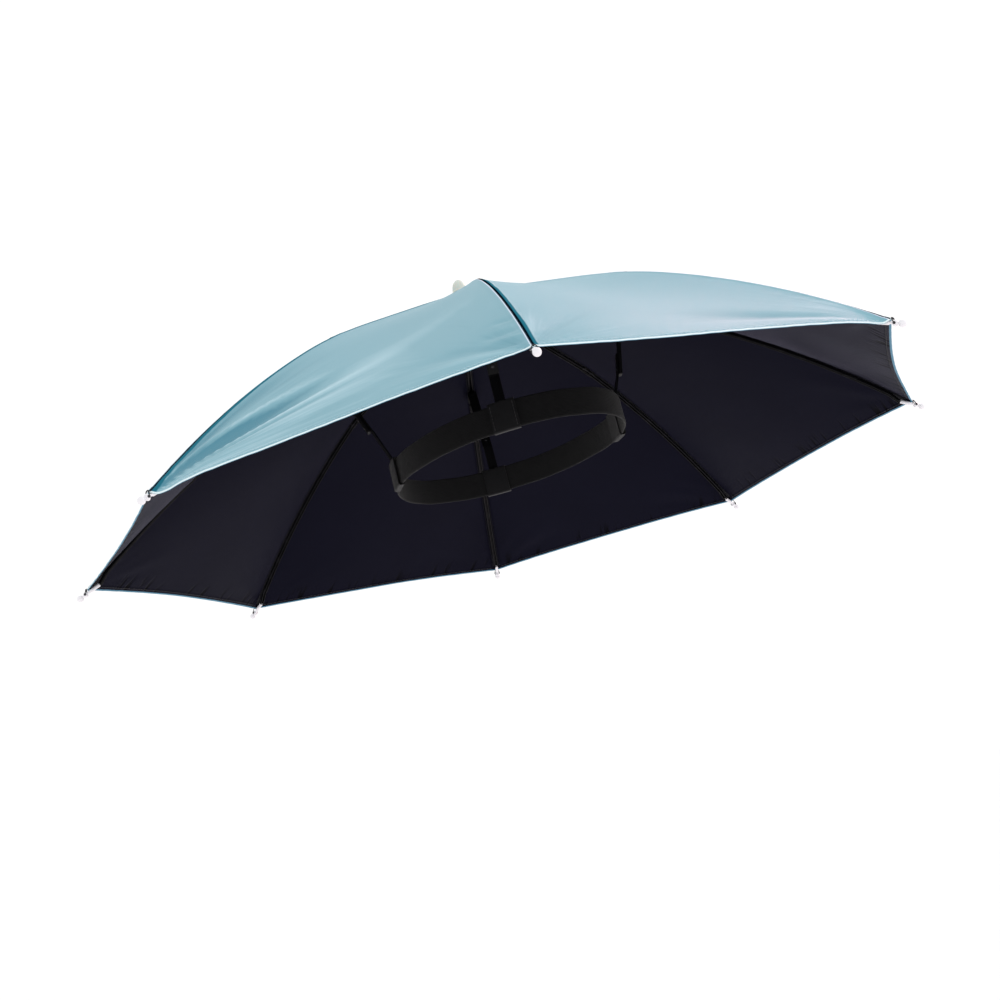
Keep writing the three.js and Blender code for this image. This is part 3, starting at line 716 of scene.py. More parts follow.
def seeded_rows():
    """The smaller pleats and puckers of every corner, the same in each run."""
    draw = np.random.default_rng(SEED)
    pleats = []
    puckers = []
    for rib in range(RIB_COUNT):
        for side in (1, -1):
            for place in SMALL_PLEATS:
                height = draw.uniform(0.25, 0.7) * draw.choice([1, -1])
                pleats.append({
                    "rib": rib, "side": side, "angle": place + draw.uniform(-4, 4),
                    "swing": draw.uniform(-3, 6), "width": draw.uniform(4, 7),
                    "height": height, "near": 5, "far": draw.uniform(60, 130), "tone": height / 2.5,
                })
            start = PUCKERED[0]
            while start < PUCKERED[1]:
                puckers.append({
                    "rib": rib, "side": side, "start": start, "angle": draw.uniform(42, 68),
                    "length": draw.uniform(8, 20), "width": draw.uniform(1.6, 2.6),
                    "height": draw.uniform(-0.28, 0.2),
                })
                start += draw.uniform(6, 13)
    return pleats, puckers


MORE_PLEATS, MORE_PUCKERS = seeded_rows()


class Gore:
    """The cloth from one rib to the next one clockwise. across runs from 0 to 1 between them."""

    def __init__(self, index):
        self.index = index
        self.first = RIBS[index]
        self.second = RIBS[(index + 1) % RIB_COUNT]
        self.span = (self.first.azimuth - self.second.azimuth) % (2 * math.pi)
        middle = self.first.azimuth - self.span / 2
        self.outward = np.array([math.cos(middle), math.sin(middle), 0])

    def width(self, reach):
        return 2 * reach * math.sin(self.span / 2)

    def base(self, reach, across):
        """Smooth surface: the outside of the part's gore."""
        belly = 4 * across * (1 - across)
        reach = reach * (1 - HEM_CUT * belly)
        slope = rail_slope(reach)
        share = across[..., None]
        flat = self.first.outward * (1 - share) + self.second.outward * share
        lift = self.first.lift * (1 - across) + self.second.lift * across
        point = flat * reach[..., None]
        point[..., 2] = rail_height(reach) + lift * reach
        held = (reach / CANOPY_REACH) ** 5
        sag = (PANEL_SAG + (HEM_SAG - PANEL_SAG) * held) * self.width(reach) * belly
        point -= self.outward * (sag * np.sin(slope))[..., None]
        point[..., 2] -= sag * np.cos(slope)
        return point

    def normal(self, reach, across):
        """Outward normal, turning into the rib's own upright plane at a seam."""
        step = 0.002
        along = self.base(reach * (1 + step), across) - self.base(reach * (1 - step), across)
        over = self.base(reach, across + step) - self.base(reach, across - step)
        normal = unit(np.cross(along, over))
        normal *= np.sign(normal[..., 2:])
        slope = rail_slope(reach)[..., None]
        near = np.minimum(across, 1 - across) * self.width(reach)
        outward = np.where((across < 0.5)[..., None], self.first.outward, self.second.outward)
        seam = outward * np.sin(slope) + np.array([0, 0, 1]) * np.cos(slope)
        share = np.exp(-near / (2 * MM))[..., None]
        return unit(normal * (1 - share) + seam * share)

    def corner_place(self, reach, across, side):
        """Distances along the rib and into the gore from a cloth corner."""
        share = across if side == 1 else 1 - across
        into = share * self.width(reach)
        down = RAIL_LENGTH - rail_length(reach)
        return down + into * math.cos(CORNER_ANGLE), into * math.sin(CORNER_ANGLE)

    def corner_turn(self, reach, across, side):
        """Distance from a cloth corner, and the turn from its rib."""
        along, into = self.corner_place(reach, across, side)
        return np.hypot(along, into), np.arctan2(into, along)

    def rows(self, table):
        """The rows of a table that lie on this gore."""
        here = []
        for row in table:
            rib = self.index if row["side"] == 1 else (self.index + 1) % RIB_COUNT
            if row["rib"] == rib:
                here.append(row)
        return here

    def fold(self, row, reach, across):
        """Distance from a pleat's corner, and how far into its fold a place is, from 0 to 1."""
        away, turn = self.corner_turn(reach, across, row["side"])
        line = row["angle"] + row["swing"] * away / (100 * MM)
        fade = 1 - smoothstep(away, 0.45 * row["far"] * MM, row["far"] * MM)
        return away, bell(np.degrees(turn) - line, row["width"]) * fade

    def tone(self, reach, across):
        """Painted shade (below 0) and painted highlight (above 0) of the folds: how much darker or paler
        the cloth's colour is made there.
        """
        total = np.zeros_like(reach)
        if self.index == 0:
            away, turn = self.corner_turn(reach, across, -1)
            total -= bell(np.degrees(turn) - SHADE_ANGLE, SHADE_WIDTH) * (1 - smoothstep(away, *SHADE_END))
            total -= CROWN_SHADE * (1 - smoothstep(reach, *CROWN_SHADE_END))
        for row in self.rows(CORNER_PLEATS + MORE_PLEATS):
            away, fold = self.fold(row, reach, across)
            total += row["tone"] * fold * smoothstep(away, 2 * MM, 9 * MM)
        return total

    def fan(self, reach, across, side):
        """Where a place lies in the fine creases of a corner, and how strong they are there."""
        away, turn = self.corner_turn(reach, across, side)
        apart = np.full_like(away, self.index * FAN_SPREAD)
        place = np.stack([turn * FAN_CREASES, away / FAN_RUN, apart], axis=-1)
        share = smoothstep(away, *FAN_ROOT) * (1 - smoothstep(away, *FAN_END))
        front = self.index == 0 and side == -1
        return place, share * (FAN_FRONT if front else FAN_STRENGTH)

    def relief(self, reach, across):
        """Height of the cloth above its smooth surface."""
        width = self.width(reach)
        near = np.minimum(across, 1 - across) * width
        hem = RAIL_LENGTH - rail_length(reach)
        crown = smoothstep(width, 8 * MM, NARROW)
        height = crown * SEAM_RIDGE * bell(near, SEAM_RIDGE_WIDTH)
        height -= crown * SEAM_GROOVE * bell(near, SEAM_GROOVE_WIDTH)
        height += HEM_RISE * (1 - smoothstep(hem, HEM_FOLD - HEM_STEP, HEM_FOLD + HEM_STEP))
        height -= STITCH_DIP * bell(hem - HEM_LINE, STITCH_DIP_WIDTH)
        place = across * width
        waver = np.sin(place / WAVER_SHORT + self.index) + np.sin(place / WAVER_LONG + 2 * self.index)
        height += WAVER * waver * np.exp(-hem / WAVER_DEPTH)
        for row in self.rows(CORNER_PLEATS + MORE_PLEATS):
            away, fold = self.fold(row, reach, across)
            rise = smoothstep(away, row["near"] * MM, (row["near"] + PLEAT_RISE) * MM)
            height += row["height"] * MM * fold * rise
        for row in self.rows(HEM_DROOPS):
            into = (across if row["side"] == 1 else 1 - across) * width / DROOP_PLACE
            height -= row["drop"] * MM * into * np.exp(1 - into) * np.exp(-hem / DROOP_DEPTH)
        height -= KNEE_EASE * bell(reach - KNUCKLE_REACH, KNEE_WIDTH)
        for row in self.rows(SEAM_PUCKERS + MORE_PUCKERS):
            along, into = self.corner_place(reach, across, row["side"])
            along = along - row["start"] * MM
            turn = math.radians(row["angle"])
            x = along * math.cos(turn) + into * math.sin(turn)
            y = into * math.cos(turn) - along * math.sin(turn)
            length = row["length"] * MM
            run = smoothstep(x, 0, 0.25 * length) * (1 - smoothstep(x, 0.4 * length, length))
            height += row["height"] * MM * bell(y, row["width"] * MM * (0.6 + x / length)) * run
        up = np.sin(PANEL_WAVE_UP * reach + 2.2 * self.index)
        wave = up * np.sin(PANEL_WAVE_ACROSS * across + 1.3 * self.index)
        height += PANEL_WAVE * 4 * across * (1 - across) * wave * smoothstep(reach, 0.05, 0.2)
        return height

    def thickness(self, reach):
        hem = RAIL_LENGTH - rail_length(reach)
        fold = 1 - smoothstep(hem, HEM_FOLD - 0.3 * MM, HEM_FOLD + 0.3 * MM)
        return CLOTH_THICK + (HEM_THICK - CLOTH_THICK) * fold

    def point(self, reach, across, lift=0.0):
        """Point of the outer skin, or above it by a lift."""
        reach, across = np.broadcast_arrays(np.asarray(reach, float), np.asarray(across, float))
        rise = self.relief(reach, across) + lift
        return self.base(reach, across) + self.normal(reach, across) * rise[..., None]

    def inside(self, reach, across, drop=0.0):
        """Point of the inner skin, or below it by a drop."""
        reach, across = np.broadcast_arrays(np.asarray(reach, float), np.asarray(across, float))
        return self.point(reach, across, -self.thickness(reach) - drop)


GORES = [Gore(index) for index in range(RIB_COUNT)]

# How the cloth's grid is spaced: close at seams and hem, open in between
SEAM_COLUMNS = np.array([0, 0.35, 0.7, 1.2, 2.0, 3.2, 5.0]) * MM
INNER_COLUMNS = 21  # from the seam's columns to the middle of a gore
HEM_ROWS = np.array([0, 0.25, 0.6, 1.2, 2.2, 3.0, 3.4, 3.8, 4.2, 4.6, 5.2, 6.2]) * MM
TURNED_ROWS = 3  # rows at the edge where the outside of the cloth shows from inside
OUTER_ROWS = 32
OUTER_ZONE = 66 * MM
CROWN_ROWS = 50
FLAT_PITCH = 0.4  # between the gores in the UV map


def reach_at(hem_distance):
    """Reach at a distance along the rail in from the hem."""
    table = np.linspace(0, CANOPY_REACH, 4000)
    lengths = rail_length(table)
    return np.interp(lengths[-1] - hem_distance, lengths, table)


def cloth_rows():
    outer = np.linspace(HEM_ROWS[-1], OUTER_ZONE, OUTER_ROWS + 1)[1:]
    crown = np.linspace(OUTER_ZONE, RAIL_LENGTH - CROWN_HOLE / 2, CROWN_ROWS + 1)[1:]
    return reach_at(np.concatenate([HEM_ROWS, outer, crown]))


def cloth_columns(width):
    """Shares across a gore of that width, up to but without its second rib."""
    squeeze = min(1, 0.36 * width / (2 * SEAM_COLUMNS[-1]))
    seam = SEAM_COLUMNS * squeeze / width
    inner = seam[-1] + (0.5 - seam[-1]) * (np.arange(1, INNER_COLUMNS + 1) / INNER_COLUMNS) ** 1.2
    half = np.concatenate([seam, inner])
    return np.concatenate([half, 1 - half[-2:0:-1]])


def store_values(mesh, stored, columns):
    """Values of the outer skin's points, and the same for the inner skin, the rim and the eaves."""
    for name, values in stored.items():
        kind, field = ("FLOAT_VECTOR", "vector") if values.ndim == 3 else ("FLOAT", "value")
        values = values.reshape(values.shape[0] * columns, -1)
        whole = np.concatenate([values, values, values[:columns], values[-columns:]])
        mesh.attributes.new(name, kind, "POINT").data.foreach_set(field, whole.reshape(-1))


def cloth_values(reaches, shares):
    """What the cloth's colours need at each point: its seams, hem, folds and fine creases."""
    grid = np.repeat(reaches[:, None], shares.shape[1], axis=1)
    widths = GORES[0].width(reaches)[:, None]
    narrow = np.minimum(1, widths / NARROW)
    after = np.minimum(shares * widths / narrow, SEAM_REACH)
    before = np.minimum((1 - shares) * widths / narrow, SEAM_REACH)
    before[:, 0] = 0
    stored = {
        "after_seam": np.tile(after, (1, RIB_COUNT)),
        "before_seam": np.tile(before, (1, RIB_COUNT)),
        "hem": np.tile(RAIL_LENGTH - rail_length(grid), (1, RIB_COUNT)),
        "tone": np.concatenate([gore.tone(grid, shares) for gore in GORES], axis=1),
    }
    for name, side in (("fan_first", 1), ("fan_second", -1)):
        fans = [gore.fan(grid, shares, side) for gore in GORES]
        stored[name] = np.concatenate([fan for fan, _ in fans], axis=1)
        stored[name + "_share"] = np.concatenate([share for _, share in fans], axis=1)
    return stored


def lay_out_cloth(mesh, faces, reaches, shares):
    """UV map in metres, the gores side by side: across each one, and down from the crown."""
    rows, per_gore = shares.shape
    columns = RIB_COUNT * per_gore
    corner = np.array(faces)
    strip = np.arange(len(faces))[:, None] // (len(faces) // columns)
    row = np.where(corner >= (2 * rows + 1) * columns, rows - 1, corner // columns % rows)
    column = strip % per_gore + (corner - strip) % columns
    ends = np.hstack([shares, np.ones((rows, 1))]) * GORES[0].width(reaches)[:, None]
    across = ends[row, column] + FLAT_PITCH * (strip // per_gore)
    flat = np.stack([across, rail_length(reaches)[row]], axis=-1)
    mesh.uv_layers.new(name="cloth").data.foreach_set("uv", flat.reshape(-1))


def make_canopy():
    """One closed skin right round the crown, outside and inside."""
    reaches = cloth_rows()
    shares = np.array([cloth_columns(GORES[0].width(reach)) for reach in reaches])
    grid = np.repeat(reaches[:, None], shares.shape[1], axis=1)

    def all_round(rows, lift):
        return np.concatenate([gore.point(grid[rows], shares[rows], lift) for gore in GORES], axis=1)

    outer = all_round(slice(None), 0.0)
    inner = np.concatenate([gore.inside(grid, shares) for gore in GORES], axis=1)
    rim = all_round(slice(1), -HEM_THICK / 2)
    rim = rim + unit(unit(rim * np.array([1, 1, 0])) + np.array([0, 0, -1])) * 0.3 * MM
    eaves = all_round(slice(-1, None), -CLOTH_THICK / 2)
    rows, columns = outer.shape[:2]
    points = np.concatenate([outer.reshape(-1, 3), inner.reshape(-1, 3), rim[0], eaves[0]])
    inner_start = rows * columns
    rim_start = 2 * rows * columns
    eaves_start = rim_start + columns
    top = (rows - 1) * columns
    faces = []
    finish = []

    def quad(a, b, c, d, material):
        faces.append((a, b, c, d))
        finish.append(material)

    for j in range(columns):
        k = (j + 1) % columns
        for i in range(rows - 1):
            near = i * columns
            far = near + columns
            quad(near + j, near + k, far + k, far + j, 0)
            low = inner_start + near
            deep = low + columns
            quad(low + j, deep + j, deep + k, low + k, 2 if i < TURNED_ROWS else 1)
        quad(rim_start + j, rim_start + k, k, j, 0)
        quad(inner_start + j, inner_start + k, rim_start + k, rim_start + j, 2)
        quad(top + j, top + k, eaves_start + k, eaves_start + j, 0)
        quad(eaves_start + j, eaves_start + k, inner_start + top + k, inner_start + top + j, 1)

    mesh = bpy.data.meshes.new("canopy")
    mesh.from_pydata(points.tolist(), [], faces)
    for material in (OUTER_CLOTH, INNER_CLOTH, SHADED_TURNED_CLOTH):
        mesh.materials.append(material)
    mesh.polygons.foreach_set("material_index", finish)
    mesh.shade_smooth()
    store_values(mesh, cloth_values(reaches, shares), columns)
    lay_out_cloth(mesh, faces, reaches, shares)
    face_outwards(mesh)
    canopy = link_object("canopy", mesh)
    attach(canopy, BODY)
    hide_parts(*[f"gore_{number}" for number in range(1, RIB_COUNT + 1)])
    return canopy


# Sewing on the canopy

SEAM_TAPE_WIDTH = 7 * MM
SEAM_TAPE_THICK = 0.25 * MM
SEAM_TAPE_STEPS = 5
SEAM_TAPE_ENDS = (5 * MM, 20 * MM)  # from the hem and from the crown
SEAM_TAPE_GAP = 0.15 * MM  # from the seam
STITCH_PITCH = 3.1 * MM
STITCH_LENGTH = 2.3 * MM
STITCH_WIDTH = 0.5 * MM
STITCH_LIFT = 0.12 * MM  # of its middle above the cloth


def make_seam_allowance():
    """The two turned edges of cloth that lie along each rib, under the canopy."""
    shapes = []
    reaches = reach_at(np.linspace(SEAM_TAPE_ENDS[0], RAIL_LENGTH - SEAM_TAPE_ENDS[1], 90))
    share = np.linspace(0, 1, SEAM_TAPE_STEPS)
    drops = 0.05 * MM + 0.12 * MM * share**2
    for gore in GORES:
        for side in (1, -1):
            across = (SEAM_TAPE_GAP + share * SEAM_TAPE_WIDTH / 2) / gore.width(reaches)[:, None]
            across = np.minimum(across, 0.45)
            if side == -1:
                across = 1 - across
            grid = np.repeat(reaches[:, None], SEAM_TAPE_STEPS, axis=1)
            top = gore.inside(grid, across, drops)
            low = gore.inside(grid, across, drops + SEAM_TAPE_THICK)
            shapes.append(skin(np.concatenate([top, low[:, ::-1]], axis=1)))
    return add_piece("seam_allowance", shapes, SEAM_CLOTH)


def stitch(centre, forward, normal, length=STITCH_LENGTH, width=STITCH_WIDTH):
    """A short round thread that dips into the cloth at both ends."""
    stops = []
    for share, dip in ((-0.5, 0.55), (-0.36, 0.1), (0, 0), (0.36, 0.1), (0.5, 0.55)):
        stops.append(centre + forward * share * length - normal * dip * width)
    return tube(stops, width / 2, steps=6)


def make_hem_stitches():
    outside = []
    inside = []
    reach = np.array(float(reach_at(HEM_LINE)))
    for gore in GORES:
        width = float(gore.width(reach))
        count = int((width - 8 * MM) / STITCH_PITCH)
        for number in range(count):
            share = np.array(0.5 + (number - (count - 1) / 2) * STITCH_PITCH / width)
            ahead = unit(gore.base(reach, share + 0.004) - gore.base(reach, share - 0.004))
            normal = gore.normal(reach, share)
            outside.append(stitch(gore.point(reach, share, STITCH_LIFT), ahead, normal))
            inside.append(stitch(gore.inside(reach, share, STITCH_LIFT), ahead, -normal))
    outer = add_piece("hem_stitches_outside", outside, HEM_THREAD, SOFT)
    inner = add_piece("hem_stitches_inside", inside, BLACK_THREAD, SOFT)
    return outer, inner


# Ribs

FORK_WIDTH = 4.4 * MM
FORK_DEPTH = 3.9 * MM
FORK_WALL = 0.45 * MM
FORK_LENGTH = 15 * MM
RIVET_WIDTH = 1.7 * MM
RIVET_HEIGHT = 0.45 * MM
TIP_SHARP = 50  # degrees


def channel_outline(width, depth, wall, steps=10, lip_steps=4):
    """Channel that opens downwards: an arched back and two legs with rounded lips."""
    half = width / 2
    lip = wall / 2
    outside = arc((0, -half), (half, half), 0, math.pi, steps)
    inside = arc((0, -half), (half - wall, half - wall), 0, math.pi, steps)
    far_lip = arc((lip - half, lip - depth), (-lip, -lip), 0, math.pi, lip_steps)
    near_lip = arc((half - lip, lip - depth), (-lip, -lip), 0, math.pi, lip_steps)
    return [*outside, *far_lip, *inside[::-1], *near_lip]


def rib_frame(rib, reach, slope=None):
    slope = float(rail_slope(reach)) if slope is None else slope
    up = rib.up(slope)
    return rib.point(reach) - up * (CLOTH_WALL + SEAT_GAP), rib.sideways, up, 1


def tip_frame(rib):
    """Root, forward and up directions of a rib's tip."""
    forward = rib.forward(TIP_SLOPE)
    root = rib.point(CANOPY_REACH)
    root[2] -= (CLOTH_WALL + SEAT_GAP) / math.cos(HEM_SLOPE) + WAIST_WIDTH / 2 / math.cos(TIP_SLOPE)
    return root + forward * (SEAT_GAP - EYE_ROOT), forward, rib.up(TIP_SLOPE)


def rivet(place, axis, length, width=RIVET_WIDTH, height=RIVET_HEIGHT, steps=16):
    """A pin with a domed head at both ends."""
    head = arc((0, length / 2), (width / 2, height), 0, math.pi / 2, 5)
    shank = width * 0.3
    profile = [*head[::-1], (width / 2, length / 2), (shank, length / 2), (shank, -length / 2)]
    profile += [(radius, -along) for radius, along in head]
    return lathe(profile, steps, place, axis, (0.3, 0.2, 0.9))


def make_rib(number, rib):
    channel = channel_outline(RIB_WIDTH, RIB_DEPTH, RIB_WALL)
    knee = (CROWN_SLOPE + KNUCKLE_SLOPE) / 2
    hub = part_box("crown_hub")[1].x
    near_reaches = np.linspace(hub + SEAT_GAP, KNUCKLE_REACH, 12)
    first = [rib_frame(rib, reach, CROWN_SLOPE) for reach in near_reaches]
    inner = add_piece(f"inner_rib_{number}", [sweep(channel, first)], BLACK_STEEL)
    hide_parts(f"rib_inner_{number}")

    root, forward, up = tip_frame(rib)
    far_reaches = np.linspace(KNUCKLE_REACH + 0.5 * MM, CANOPY_REACH - 14 * MM, 40)
    second = [rib_frame(rib, reach) for reach in far_reaches]
    second.append((root - forward * SEAT_GAP + up * RIB_DEPTH / 2, rib.sideways, up, 1))
    fork = channel_outline(FORK_WIDTH, FORK_DEPTH, FORK_WALL)
    origin, across, fork_up, _ = rib_frame(rib, KNUCKLE_REACH, knee)
    ahead = rib.forward(knee)
    ends = []
    for share in (-0.5, -0.47, 0.47, 0.5):
        scale = 0.93 if abs(share) == 0.5 else 1
        ends.append((origin + ahead * share * FORK_LENGTH + fork_up * 0.45 * MM, across, fork_up, scale))
    shapes = [sweep(channel, second), sweep(fork, ends)]
    outer = add_piece(f"outer_rib_{number}", shapes, BLACK_STEEL)
    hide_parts(f"rib_outer_{number}")

    pins = []
    for share in (-0.3, 0.3):
        place = origin + ahead * share * FORK_LENGTH - fork_up * 1.7 * MM
        pins.append(rivet(place, across, FORK_WIDTH))
    add_piece(f"knuckle_rivets_{number}", pins, DULL_STEEL)


def tip_profile():
    """Sleeve, waist, rounded eye, neck and ball along a tip."""
    sleeve = SLEEVE_WIDTH / 2
    waist = WAIST_WIDTH / 2
    centre = TIP_LENGTH - BALL_WIDTH / 2
    profile = [
        (0.55 * sleeve, 0), (0.9 * sleeve, 0), (sleeve, 0.25 * MM),
        (sleeve, SLEEVE_LENGTH - 0.3 * MM), (0.92 * sleeve, SLEEVE_LENGTH),
        (waist, SLEEVE_LENGTH + 0.25 * WAIST_LENGTH), (waist, EYE_ROOT),
    ]
    for share in np.linspace(0.06, 0.94, 10):
        bulge = math.sin(math.pi * share) ** 0.6
        profile.append((waist + (EYE_WIDTH / 2 - waist) * bulge, EYE_ROOT + EYE_LENGTH * share))
    start = math.asin(NECK_WIDTH / BALL_WIDTH) - math.pi / 2
    return profile + arc((0, centre), (BALL_WIDTH / 2, BALL_WIDTH / 2), start, math.pi / 2, 12)


def eye_place(rib):
    """Middle of the eye in a rib's tip."""
    root, forward, _ = tip_frame(rib)
    return root + forward * (EYE_ROOT + 0.5 * EYE_LENGTH)


def eye_bar(rib, reach, radius, steps):
    """A round bar through the eye, as far as a reach on both sides."""
    eye = eye_place(rib)
    return tube([eye - rib.sideways * reach, eye + rib.sideways * reach], radius, steps)


def make_tip(number, rib):
    root, forward, up = tip_frame(rib)
    tip_shape = lathe(tip_profile(), 24, root, forward, up)
    tip = add_piece(f"rib_tip_{number}", [tip_shape], TIP_PLASTIC, TIP_SHARP)
    points, faces = eye_bar(rib, EYE_WIDTH, EYE_HOLE / 2, 16)
    drill_mesh = bpy.data.meshes.new("drill")
    drill_mesh.from_pydata(points.tolist(), [], faces)
    drill = link_object("drill", drill_mesh)
    for mesh in (tip.data, drill_mesh):
        face_outwards(mesh, fill=True)
    cutter = tip.modifiers.new("eye", "BOOLEAN")
    cutter.object = drill
    cutter.operation = "DIFFERENCE"
    cutter.solver = "EXACT"
    bpy.context.view_layer.update()
    cut = bpy.data.meshes.new_from_object(tip.evaluated_get(bpy.context.evaluated_depsgraph_get()))
    tip.modifiers.clear()
    tip.data = cut
    cut.set_sharp_from_angle(angle=math.radians(TIP_SHARP))
    bpy.data.objects.remove(drill)
    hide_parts(f"tip_{number}")


TIE_WIDTH = 0.5 * MM

# Half a loop of the thread that ties a cloth corner to its tip, from the eye's hole up over the
# corner. forward: from the eye, up: above the tip's axis and side: beside it, in mm.
TIE_LOOP = [
    {"forward": 0, "up": 0, "side": 0},
    {"forward": -0.1, "up": 0.2, "side": 2.3},
    {"forward": -1.2, "up": 1.3, "side": 2.0},
    {"forward": -2.4, "up": 2.8, "side": 1.0},
]
TIE_TOP = {"forward": -2.7, "up": 3.3, "side": 0}


def make_ties(number, rib):
    """Black thread from each eye over the cloth's corner."""
    _, forward, up = tip_frame(rib)
    eye = eye_place(rib)
    other_side = [{**row, "side": -row["side"]} for row in TIE_LOOP[:0:-1]]
    shapes = [eye_bar(rib, 0.5 * EYE_WIDTH + 0.15 * MM, EYE_HOLE / 2 - 0.05 * MM, 12)]
    for spread in (0.85, 1.1):
        stops = []
        for row in [*TIE_LOOP, TIE_TOP, *other_side]:
            stop = eye + (forward * row["forward"] * spread + up * row["up"]) * MM
            stops.append(stop + rib.sideways * row["side"] * MM)
        shapes.append(tube(smooth_path(stops, 5, closed=True), TIE_WIDTH / 2, 6, closed=True))
    add_piece(f"tip_tie_{number}", shapes, BLACK_THREAD, SOFT)


# Crown

def make_hub():
    """Runner under the crown: a rim with a slot and a wire ring for the ribs' roots.

    bore and stud: out from the axis and up from the underside, in mm. edge: in from the rim.
    """
    low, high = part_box("crown_hub")
    radius = high.x
    under = low.z
    bore = [(0, 2.4), (3.2, 2.4), (3.6, 2), (3.6, 0.4), (4, 0), (6.2, 0), (6.6, 0.4), (6.6, 1.6), (7.2, 2)]
    edge = [(4.2, 2.0), (3.4, 1.4), (3.2, 0.4), (2.8, 0), (0.5, 0), (0, 0.5), (0, 6.6), (0.5, 7)]
    stud = [(3, 12), (3, 19), (0, 19)]
    profile = [(out * MM, under + up * MM) for out, up in bore]
    profile += [(radius - inward * MM, under + up * MM) for inward, up in edge]
    profile += [(out * MM, under + up * MM) for out, up in stud]
    hub = add_piece("rib_hub", [lathe(profile, 64)], HUB_PLASTIC, 35)
    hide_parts("crown_hub")
    wire = circle(radius + 0.5 * MM, 96)
    ring = np.column_stack([wire, np.full(96, under + 3.2 * MM)])
    add_piece("hub_wire", [tube(ring, 0.5 * MM, 8, closed=True)], DULL_STEEL, SOFT)


def make_finial():
    """Domed cap over the crown: a thin flange, a waist and a round top."""
    low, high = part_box("finial")
    radius = high.x
    base = low.z
    height = high.z - low.z
    hollow = base + 0.6 * MM
    profile = [(0, hollow), (3.4 * MM, hollow), (3.6 * MM, base), (radius - 0.3 * MM, base)]
    flange = (radius - 0.5 * MM, base + 0.7 * MM)
    profile += arc(flange, (0.5 * MM, 0.7 * MM), -math.pi / 2, math.pi / 2, 6)
    top = (radius - 0.7 * MM, height - 1.6 * MM)
    profile += arc((0, base + 1.6 * MM), top, 0, math.pi / 2, 16)
    finial = add_piece("crown_cap", [lathe(profile, 64)], FINIAL_PLASTIC, 45)
    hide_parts("finial")


# Headband

BAND_STEPS = 300
BAND_RIBS = 18  # woven ridges up the band's height
BAND_RIDGE = 0.16 * MM
BAND_EDGE = 0.5 * MM  # how far its edges are rounded


def band_centre(turn):
    """Point on the middle of the band's wall, its outward normal and its forward direction."""
    long = (BAND_LENGTH - BAND_WALL) / 2
    short = (BAND_BREADTH - BAND_WALL) / 2
    cosine = math.cos(BAND_TURN)
    sine = math.sin(BAND_TURN)
    x, y = long * math.cos(turn), short * math.sin(turn)
    nx, ny = math.cos(turn) / long, math.sin(turn) / short
    place = np.array([BAND_SHIFT + x * cosine - y * sine, x * sine + y * cosine, 0])
    normal = unit(np.array([nx * cosine - ny * sine, nx * sine + ny * cosine, 0]))
    return place, normal, np.array([-normal[1], normal[0], 0])


def band_crossing(rib):
    """Where a rib's plane crosses the band: the turn of the oval."""
    def miss(turn):
        place = band_centre(turn)[0]
        return abs(place @ rib.sideways) if place @ rib.outward > 0 else math.inf

    return min(np.linspace(0, 2 * math.pi, 7200, endpoint=False), key=miss)


def band_outline():
    """Section of the band: two ridged faces and rounded edges, as (out, up) pairs."""
    outline = []
    steps = BAND_RIBS * 4
    for face in (1, -1):
        for i in range(steps + 1):
            share = i / steps
            edge = min(share, 1 - share) * BAND_HEIGHT
            ridge = BAND_RIDGE * 0.5 * (math.cos(2 * math.pi * BAND_RIBS * share) - 1)
            out = BAND_WALL / 2 + ridge - BAND_EDGE * math.exp(-((edge / BAND_EDGE) ** 2))
            outline.append((face * out, face * BAND_HEIGHT / 2 * (2 * share - 1)))
    return outline


def make_band():
    frames = []
    for turn in np.arange(BAND_STEPS) * 2 * math.pi / BAND_STEPS:
        place, normal, _ = band_centre(turn)
        waver = 0.15 * MM * math.sin(9 * turn) + 0.1 * MM * math.sin(17 * turn + 1)
        frames.append((place + np.array([0, 0, waver]), normal, np.array([0, 0, 1.0]), 1))
    shape = sweep(band_outline(), frames, closed=True)
    band = add_piece("elastic_band", [shape], BAND_ELASTIC, SOFT)
    add_band_uv(band)
    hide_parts("headband")
    return band


def add_band_uv(piece):
    """UV map in metres round and up the band."""
    mesh = piece.data
    layer = mesh.uv_layers.new(name="cloth")
    centre = Vector((BAND_SHIFT, 0, 0))
    radius = (BAND_LENGTH + BAND_BREADTH) / 4
    for polygon in mesh.polygons:
        middle = polygon.center - centre
        around = math.atan2(middle.y, middle.x)
        for loop in polygon.loop_indices:
            point = mesh.vertices[mesh.loops[loop].vertex_index].co - centre
            turn = math.atan2(point.y, point.x)
            turn += 2 * math.pi * round((around - turn) / (2 * math.pi))
            layer.data[loop].uv = (turn * radius, point.z)


# Legs and loops

LEG_RIVET = 2.6 * MM
ARM_BEND = 3 * MM
ARM_EDGE = 0.9 * MM
STRIP_BEND = 2.2 * MM
STRIP_EDGE = 0.45 * MM
END_TAPER = 0.18  # share by which a strap's rounded end narrows
LOOP_THICK = 0.7 * MM
LOOP_STITCH = 2.6 * MM
LOOP_STEPS = 16


def leg_path(row):
    rib = RIBS[row["rib"]]
    depth = CLOTH_WALL + SEAT_GAP + RIB_DEPTH + SEAT_GAP + ARM_WALL / 2
    foot = rib.point(HINGE_REACH + FOOT_LENGTH, depth)
    hinge = rib.point(HINGE_REACH, depth)
    elbow = rib.outward * HINGE_REACH * row["reach"] + np.array([0, 0, CROWN_HEIGHT * row["height"]])
    return rib, foot, hinge, elbow


